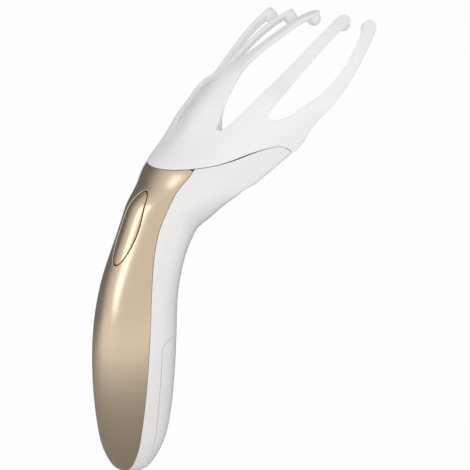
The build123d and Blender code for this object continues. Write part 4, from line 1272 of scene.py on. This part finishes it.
# ------------------------------------------------------------------ handle
@dataclass
class Handle:
    """Front shell, rear shell, battery door, catch and power button of the handle."""
    cell: float = 0.95
    mean_radius: float = 21.0     # of the body, for the number of angles in a patch
    edge_radius: float = 0.28
    seam_gap: float = 0.07
    door_gap: float = 0.15
    behind: float = -8.0          # a point this far below a small plane belongs to the other side
    button_size: tuple = (37.6, 12.8)
    button_gap: float = 0.5
    button_proud: float = -0.12
    button_crown: float = 0.6
    button_wall: float = 0.75
    button_edge: float = 0.5
    catch_size: tuple = (5.6, 14.0)
    catch_corner: float = 0.9
    catch_travel: float = 2.0
    catch_gap: float = 0.3
    catch_wall: float = 1.1
    catch_edge: float = 0.2
    rib_places: tuple = (-1.7, 0.0, 1.7)
    rib_height: float = 0.55
    rib_half: float = 0.62
    rib_end: tuple = (1.0, 0.6)   # how far from the sides the ribs end, and over what run
    well_depth: float = 1.45
    well_grow: float = 1.2
    well_wall: float = 0.5
    well_edge: float = 0.1

    def wall(self, depth: float) -> Callable:
        """Inner face at a depth below the outer one."""
        return lambda u, a, p, normal: p - normal * depth

    def constant(self, value: float) -> Callable:
        """The same edge radius everywhere."""
        return lambda u, a, p: np.full(len(u), value)

    def button_outline(self, p: Array, grow: float) -> Array:
        """Distance inside the oval of the button: its half width times one less the reach.

        Args:
            p: points in the frame of the part.
            grow: how much larger the oval is taken all round.
        Returns:
            The distances, negative outside and on the other side of the handle.
        """
        along, out = BUTTON_PLANE.local(p)
        half = (self.button_size[0] / 2 + grow, self.button_size[1] / 2 + grow)
        reach = np.sqrt((along / half[0]) ** 2 + (p[..., 1] / half[1]) ** 2)
        return np.where(out > self.behind, (1.0 - reach) * half[1], OUTSIDE)

    def catch_outline(self, p: Array, grow: float, travel: float) -> Array:
        """Distance inside the rounded rectangle of the catch or of its recess.

        Args:
            p: points in the frame of the part.
            grow: how much larger it is taken all round.
            travel: how much longer it is taken up the handle.
        Returns:
            The distances, negative outside and on the other side of the handle.
        """
        along, out = CATCH_PLANE.local(p)
        half = (self.catch_size[0] / 2 + grow + travel / 2, self.catch_size[1] / 2 + grow)
        corner = self.catch_corner + grow
        du = np.abs(along - travel / 2) - half[0] + corner
        dv = np.abs(p[..., 1]) - half[1] + corner
        outside = np.hypot(np.maximum(du, 0.0), np.maximum(dv, 0.0)) + np.minimum(np.maximum(du, dv), 0.0)
        return np.where(out > self.behind, corner - outside, OUTSIDE)

    def grid(self, first: float, last: float, low: float = -90.0, high: float = 90.0,
             cell: Optional[float] = None) -> tuple:
        """Rows and angles of a patch.

        Args:
            first: first row number.
            last: last row number.
            low: lowest angle in degrees.
            high: highest angle in degrees.
            cell: width of a cell in millimetres; that of the shells where it is left out.
        Returns:
            Row numbers, and angles in radians.
        """
        cell = cell or self.cell
        count = int(math.radians(high - low) * self.mean_radius / cell) + 2
        return BODY.stations(first, last, cell), np.radians(np.linspace(low, high, count))

    def front_margin(self, u: Array, a: Array, p: Array) -> Array:
        """Distance inside the front shell."""
        side = np.minimum(-LINES.front(p) - self.seam_gap, -LINES.head(p) - self.seam_gap)
        return np.minimum(side, -self.button_outline(p, self.button_gap))

    def rear_margin(self, u: Array, a: Array, p: Array) -> Array:
        """Distance inside the rear shell, which leaves room for the door and the catch.

        Args:
            u: row numbers, not needed here.
            a: angles, not needed here.
            p: points of the outer face.
        Returns:
            The distances.
        """
        side = np.minimum(LINES.front(p) - self.seam_gap, -LINES.head(p) - self.seam_gap)
        side = np.minimum(side, -LINES.door(p) - self.door_gap)
        return np.minimum(side, -self.catch_outline(p, self.catch_gap, self.catch_travel))

    def door_margin(self, u: Array, a: Array, p: Array) -> Array:
        """Distance inside the battery door."""
        return LINES.door(p) - self.door_gap

    def raised(self, height: Callable[[Array], Array]) -> Callable:
        """The body form raised along its normal by a height that depends on the place.

        Args:
            height: gives the height at points of the body.
        Returns:
            A function that places the raised form, for a skin.
        """
        def place(u: Array, a: Array) -> Array:
            """Points of the raised form.

            Args:
                u: row numbers.
                a: angles.
            Returns:
                The points.
            """
            h = 5 * PATCH_STEP
            p = BODY.place(u, a)
            xu = BODY.place(u + h, a) - BODY.place(u - h, a)
            xa = BODY.place(u, a + h) - BODY.place(u, a - h)
            return p + unit(np.cross(xa, xu)) * height(p)[..., None]

        return place

    def button_height(self, p: Array) -> Array:
        """The button is crowned: its height falls with the square of the reach over its oval."""
        inside = np.clip(self.button_outline(p, 0.0) / (self.button_size[1] / 2), 0.0, 1.0)
        return self.button_proud + self.button_crown * (1.0 - (1.0 - inside) ** 2)

    def catch_height(self, p: Array) -> Array:
        """Three ribs across the catch, each a raised cosine that fades out at its ends.

        Args:
            p: points of the body.
        Returns:
            The heights over the body.
        """
        along, _ = CATCH_PLANE.local(p)
        half = self.rib_half
        ribs = sum(np.where(np.abs(along - c) < half, 0.5 + 0.5 * np.cos(np.pi * (along - c) / half), 0.0)
                   for c in self.rib_places)
        end, run = self.rib_end
        ends = smooth_step((self.catch_size[1] / 2 - end - np.abs(p[..., 1])) / run)
        return self.rib_height * ribs * ends

    def build_shells(self, finishes: dict) -> None:
        """Make the front shell, the rear shell and the battery door.

        Args:
            finishes: materials by slot name.
        """
        thin = self.constant(self.edge_radius)
        shells = (("front_cover", self.front_margin, (0.6, 16.5, -20.0, 90.0), "champagne", "front_shell",
                   "handle"),
                  ("rear_cover", self.rear_margin, (-1.0, 21.0, -90.0, 80.0), "gloss_white", "rear_shell",
                   "handle"),
                  ("door_cover", self.door_margin, (0.0, 8.5, -90.0, 10.0), "door_white", "battery_door",
                   "battery_cover"))
        for name, margin, patch, slot, node, body in shells:
            skin = Skin(BODY.place, margin, self.wall(WALL), thin)
            rows, angles = self.grid(*patch)
            new_piece(name, skin_mesh(skin, rows, angles, self.cell), finishes[slot], body, node)

    def build_controls(self, finishes: dict) -> None:
        """Make the power button, the catch of the door and the well that the catch slides in.

        Args:
            finishes: materials by slot name.
        """
        button = Skin(self.raised(self.button_height), lambda u, a, p: self.button_outline(p, 0.0),
                      self.wall(self.button_wall), self.constant(self.button_edge))
        new_piece("button_cap", skin_mesh(button, *self.grid(9.5, 15.5, 40.0, 90.0, 0.6), 0.6),
                  finishes["button_champagne"], "button", "power_button")
        catch = Skin(self.raised(self.catch_height), lambda u, a, p: self.catch_outline(p, 0.0, 0.0),
                     self.wall(self.catch_wall), self.constant(self.catch_edge))
        new_piece("catch_slider", skin_mesh(catch, *self.grid(7.4, 9.6, -90.0, -50.0, 0.22), 0.22),
                  finishes["catch_white"], "catch", "door_catch")
        well = Skin(self.raised(lambda p: np.full(p.shape[:-1], -self.well_depth)),
                    lambda u, a, p: self.catch_outline(p, self.well_grow, self.catch_travel),
                    self.wall(self.well_wall), self.constant(self.well_edge))
        new_piece("catch_well", skin_mesh(well, *self.grid(7.2, 10.2, -90.0, -45.0, 0.6), 0.6),
                  finishes["gloss_white"], "handle")

    def build(self, finishes: dict) -> None:
        """Make the shells, the door, the button and the catch."""
        self.build_shells(finishes)
        self.build_controls(finishes)


@dataclass
class BatteryTray:
    """Floor of the battery bay with two troughs for the cells and a wall at each end."""
    front: float = -4.8
    floor: float = -3.0
    wall_top: float = 4.8
    ridge_top: float = 2.2
    cell_centre: tuple = (2.45, 5.7)
    trough_radius: float = 5.4
    cradle_half: float = 10.95
    ends: tuple = (-46.6, 2.7)
    contact_room: float = 2.4
    wall: float = 1.5
    reach: tuple = (-54.5, 10.5)
    half_width: float = 18.0
    body_share: float = 0.96      # part of the body's half width that the tray may take
    shell_gap: float = 0.2
    step: float = 0.01            # run of the tray's upright steps

    def surface(self, z: Array, y: Array) -> Array:
        """Offset of the tray's rear face: centre minus sqrt(r^2 - (|y| - spacing)^2) in the
        troughs, the wall top at both ends of the cradle and the floor elsewhere.

        Args:
            z: heights.
            y: distances from the middle plane.
        Returns:
            The offsets.
        """
        low, high = self.ends
        flat = np.full(np.broadcast(z, y).shape, self.floor)
        root = np.sqrt(np.maximum(self.trough_radius ** 2 - (np.abs(y) - self.cell_centre[1]) ** 2, 0.0))
        trough = np.minimum(self.cell_centre[0] - root, self.ridge_top) + 0.0 * z
        cradle = np.abs(y) <= self.cradle_half
        cells = (z >= low + self.contact_room) & (z <= high - self.contact_room)
        walls = ((z >= low - self.wall) & (z <= low)) | ((z >= high) & (z <= high + self.wall))
        result = np.where(cradle & cells, np.maximum(trough, self.floor), flat)
        return np.where(cradle & walls, self.wall_top, result)

    def build(self, finishes: dict) -> None:
        """Make the tray: the rear face, the flat front face and the strips that join them.

        Args:
            finishes: materials by slot name.
        """
        low, high = self.ends
        steps = (low - self.wall, low, low + self.contact_room,
                 high - self.contact_room, high, high + self.wall)
        z = np.unique(np.concatenate([[step + d for step in steps for d in (-self.step, self.step)],
                                      np.linspace(*self.reach, 16)]))
        past, side = self.cradle_half + 2 * self.step, self.half_width
        y = np.unique(np.concatenate([np.linspace(-self.cradle_half, self.cradle_half, 61),
                                      [-past, past, -side, side]]))
        rows = BODY.rows.at(np.linspace(1.0, 10.0, 200))
        room = np.interp(z + GRIP_HEIGHT, rows[:, 0], rows[:, 5] * self.body_share) - WALL - self.shell_gap
        zz = z[:, None] + 0.0 * y[None, :]
        yy = np.clip(y[None, :], -room[:, None], room[:, None])
        rear = np.stack([self.surface(z[:, None], yy), yy, zz], -1)
        front = np.stack([np.full(zz.shape, self.front), yy, zz], -1)
        count = zz.size
        grid = np.arange(count).reshape(zz.shape)
        sheet = grid_triangles(grid)
        rim = np.concatenate([grid[0, :-1], grid[:-1, -1], grid[-1, :0:-1], grid[:0:-1, 0]])
        following = np.roll(rim, -1)
        strips = np.concatenate([np.stack([rim, rim + count, following + count], -1),
                                 np.stack([rim, following + count, following], -1)])
        faces = np.concatenate([sheet, sheet[:, ::-1] + count, strips])
        corners = np.concatenate([rear.reshape(-1, 3), front.reshape(-1, 3)])
        data = merged(corners, faces, np.zeros_like(corners) + (1.0, 0.0, 0.0))
        piece = new_piece("battery_tray", MeshData(data.corners, data.faces, []), finishes["inner_plastic"],
                          "handle")
        piece.data.polygons.foreach_set("use_smooth", [False] * len(piece.data.polygons))


# ------------------------------------------------------------------ parts kept from the frame
@dataclass
class Inside:
    """Parts inside the handle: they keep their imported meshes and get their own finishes."""
    slots: dict = field(default_factory=lambda: {
        "button_membrane": "membrane", "circuit_board": "board", "board_screws": "screw_steel",
        "switch_body": "switch_black", "switch_plunger": "plunger_black", "motor_can": "motor_steel",
        "motor_shaft": "shaft_steel", "eccentric_weight": "weight_brass", "motor_sleeve": "sleeve_rubber",
        "motor_cradle": "inner_plastic", "motor_clamp": "inner_plastic", "cell_left": "cell_wrap",
        "cell_right": "cell_wrap", "bridge_contact": "contact_metal", "upper_contacts": "contact_metal",
        "case_screws": "screw_steel", "head_screws": "screw_steel", "head_plug": "inner_plastic"})

    def dress(self, finishes: dict) -> None:
        """Give each part its finish.

        Args:
            finishes: materials by slot name.
        """
        for name, slot in self.slots.items():
            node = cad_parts[name]
            node.data.materials.clear()
            node.data.materials.append(finishes[slot])
            log.info("%s: %s", name, slot)


# ------------------------------------------------------------------ studio
@dataclass(frozen=True)
class Lamp:
    """A soft area lamp: its place and size in metres, its power in watts, and whether metal and
    gloss mirror it."""
    name: str
    place: tuple
    size: tuple
    power: float
    mirrored: bool


@dataclass
class Studio:
    """Camera, lights, pale floor and white surround."""
    target: tuple = (49.83, -14.92, 50.27)
    distance: float = 1250.0
    azimuth: float = -40.0
    elevation: float = 11.0
    frame_width: float = 224.66
    sensor: float = 36.0
    lamps: tuple = (Lamp("key", (-1.30, 0.35, 0.75), (0.40, 1.2), 2.8, True),
                    Lamp("fill", (-0.55, -1.45, 0.45), (1.3, 1.3), 9.0, False))
    world_colour: tuple = (0.97, 0.97, 1.0, 1.0)
    world_strength: float = 0.66
    dim_share: float = 0.20       # what the far side of the studio gives in reflections
    world_front: tuple = (-0.74, -0.62, 0.26)
    world_fade: tuple = (-0.45, 0.30)
    floor_size: float = 8.0
    floor_colour: tuple = (0.90, 0.90, 0.90, 1.0)
    floor_roughness: float = 0.7
    floor_glow: float = 0.97      # how much of the floor is plain white to the camera
    floor_front: tuple = (-0.77, -0.64, 0.0)
    floor_fade: tuple = (-0.30, 0.10)
    # painted shade: the floor's glow in reflections is dimmed beside the object and on its far side
    near_share: float = 0.30      # what the floor beside the object gives in reflections
    near_fade: tuple = (0.02, 0.45)

    def camera(self) -> None:
        """Place the camera on its line of sight and frame the object."""
        az, el = math.radians(self.azimuth), math.radians(self.elevation)
        back = Vector((math.sin(az) * math.cos(el), -math.cos(az) * math.cos(el), math.sin(el)))
        right = Vector((math.cos(az), math.sin(az), 0.0))
        up = back.cross(right)
        data = bpy.data.cameras.new("camera")
        data.sensor_width = self.sensor
        data.lens = self.sensor * self.distance / self.frame_width
        data.clip_start, data.clip_end = 0.01, 20.0
        camera = bpy.data.objects.new("camera", data)
        camera.matrix_world = Matrix((right, up, back)).transposed().to_4x4()
        camera.location = (Vector(self.target) + back * self.distance) * MM
        bpy.context.scene.collection.objects.link(camera)
        bpy.context.scene.camera = camera

    def light(self, lamp: Lamp) -> None:
        """Hang a lamp so that it faces the object.

        Args:
            lamp: the lamp.
        """
        data = bpy.data.lights.new(lamp.name, "AREA")
        data.shape = "RECTANGLE"
        data.size, data.size_y = lamp.size
        data.energy = lamp.power
        light = bpy.data.objects.new(lamp.name, data)
        light.location = lamp.place
        aim = Vector(self.target) * MM - Vector(lamp.place)
        light.rotation_euler = aim.to_track_quat("-Z", "Y").to_euler()
        light.visible_glossy = lamp.mirrored
        bpy.context.scene.collection.objects.link(light)

    @staticmethod
    def math_node(nodes: bpy.types.Nodes, operation: str) -> bpy.types.Node:
        """Add a math node.

        Args:
            nodes: the nodes of a material or of the world.
            operation: what it works out.
        Returns:
            The node.
        """
        node = nodes.new("ShaderNodeMath")
        node.operation = operation
        return node

    @staticmethod
    def measure(nodes: bpy.types.Nodes, operation: str, other: tuple = (0.0, 0.0, 0.0)) -> bpy.types.Node:
        """Add a vector node that gives a length or a dot product.

        Args:
            nodes: the nodes of a material or of the world.
            operation: what it works out.
            other: the second vector.
        Returns:
            The node.
        """
        node = nodes.new("ShaderNodeVectorMath")
        node.operation = operation
        node.inputs[1].default_value = other
        return node

    @staticmethod
    def fade(nodes: bpy.types.Nodes, ends: tuple, lowest: float) -> bpy.types.Node:
        """Add a smooth fade up to 1.

        Args:
            nodes: the nodes of a material or of the world.
            ends: values at which it starts and ends.
            lowest: what it gives before its start.
        Returns:
            The node.
        """
        node = nodes.new("ShaderNodeMapRange")
        node.interpolation_type = "SMOOTHSTEP"
        node.inputs["From Min"].default_value, node.inputs["From Max"].default_value = ends
        node.inputs["To Min"].default_value = lowest
        return node

    def surround(self) -> None:
        """World: plain soft light, white to the camera, and in reflections a white studio whose
        far side is dim, so that metal shows its form."""
        world = bpy.data.worlds.new("surround")
        bpy.context.scene.world = world
        world.use_nodes = True
        nodes, links = world.node_tree.nodes, world.node_tree.links
        plain = nodes["Background"]
        plain.inputs["Color"].default_value = self.world_colour
        plain.inputs["Strength"].default_value = self.world_strength
        white = nodes.new("ShaderNodeBackground")
        where = nodes.new("ShaderNodeTexCoord")
        towards = self.measure(nodes, "DOT_PRODUCT", self.world_front)
        fall = self.fade(nodes, self.world_fade, self.dim_share)
        path = nodes.new("ShaderNodeLightPath")
        strength = self.math_node(nodes, "MAXIMUM")
        either = self.math_node(nodes, "MAXIMUM")
        pick = nodes.new("ShaderNodeMixShader")
        links.new(where.outputs["Generated"], towards.inputs[0])
        links.new(towards.outputs["Value"], fall.inputs["Value"])
        links.new(fall.outputs["Result"], strength.inputs[0])
        links.new(path.outputs["Is Camera Ray"], strength.inputs[1])
        links.new(strength.outputs[0], white.inputs["Strength"])
        links.new(path.outputs["Is Camera Ray"], either.inputs[0])
        links.new(path.outputs["Is Glossy Ray"], either.inputs[1])
        links.new(either.outputs[0], pick.inputs["Fac"])
        links.new(plain.outputs[0], pick.inputs[1])
        links.new(white.outputs[0], pick.inputs[2])
        links.new(pick.outputs[0], nodes["World Output"].inputs["Surface"])

    def floor(self) -> None:
        """Pale floor under the object; to the camera it is mostly plain white, with the shadow."""
        mesh = bpy.data.meshes.new("floor")
        half, height = self.floor_size / 2, -GRIP_HEIGHT * MM
        corners = [(-half, -half, height), (half, -half, height), (half, half, height), (-half, half, height)]
        mesh.from_pydata(corners, [], [(0, 1, 2, 3)])
        floor = bpy.data.objects.new("floor", mesh)
        bpy.context.scene.collection.objects.link(floor)
        mesh.materials.append(self.floor_material())

    def floor_material(self) -> bpy.types.Material:
        """The floor's finish: pale, white to the camera, and in reflections a glow with painted
        shade near the object and on the far side.

        Returns:
            The material.
        """
        material = bpy.data.materials.new("pale_floor")
        material.use_nodes = True
        material.cycles.emission_sampling = "NONE"
        nodes, links = material.node_tree.nodes, material.node_tree.links
        shader = nodes["Principled BSDF"]
        shader.inputs["Base Color"].default_value = self.floor_colour
        shader.inputs["Roughness"].default_value = self.floor_roughness
        glow = nodes.new("ShaderNodeEmission")
        path = nodes.new("ShaderNodeLightPath")
        where = nodes.new("ShaderNodeTexCoord")
        # painted shade in reflections: glossy rays see the floor as a glow, dimmed near the object and on the
        # far side
        reach = self.measure(nodes, "LENGTH")
        far = self.fade(nodes, self.near_fade, self.near_share)
        side = self.measure(nodes, "DOT_PRODUCT", self.floor_front)
        front = self.fade(nodes, self.floor_fade, self.dim_share)
        tone = self.math_node(nodes, "MULTIPLY")
        glossy = self.math_node(nodes, "MULTIPLY")
        strength = self.math_node(nodes, "ADD")
        seen = self.math_node(nodes, "MULTIPLY")
        seen.inputs[1].default_value = self.floor_glow
        share = self.math_node(nodes, "MAXIMUM")
        mix = nodes.new("ShaderNodeMixShader")
        links.new(where.outputs["Object"], reach.inputs[0])
        links.new(where.outputs["Object"], side.inputs[0])
        links.new(reach.outputs["Value"], far.inputs["Value"])
        links.new(side.outputs["Value"], front.inputs["Value"])
        links.new(far.outputs["Result"], tone.inputs[0])
        links.new(front.outputs["Result"], tone.inputs[1])
        links.new(tone.outputs[0], glossy.inputs[0])
        links.new(path.outputs["Is Glossy Ray"], glossy.inputs[1])
        links.new(glossy.outputs[0], strength.inputs[0])
        links.new(path.outputs["Is Camera Ray"], strength.inputs[1])
        links.new(strength.outputs[0], glow.inputs["Strength"])
        links.new(path.outputs["Is Camera Ray"], seen.inputs[0])
        links.new(seen.outputs[0], share.inputs[0])
        links.new(path.outputs["Is Glossy Ray"], share.inputs[1])
        links.new(share.outputs[0], mix.inputs["Fac"])
        links.new(shader.outputs[0], mix.inputs[1])
        links.new(glow.outputs[0], mix.inputs[2])
        links.new(mix.outputs[0], nodes["Material Output"].inputs["Surface"])
        return material

    def build(self) -> None:
        """Set the whole studio."""
        self.camera()
        self.floor()
        self.surround()
        for lamp in self.lamps:
            self.light(lamp)
        bpy.context.scene.view_settings.view_transform = "Standard"


def main() -> None:
    """Build and dress every sub-assembly and report its pieces."""
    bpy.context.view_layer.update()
    groups = {"grain": grain_group(), "wear": wear_group()}
    finishes = {finish.name: finish.material(groups) for finish in FINISHES}
    Head().build(finishes)
    Handle().build(finishes)
    BatteryTray().build(finishes)
    Inside().dress(finishes)
    Studio().build()


if __name__ == "__main__":
    main()
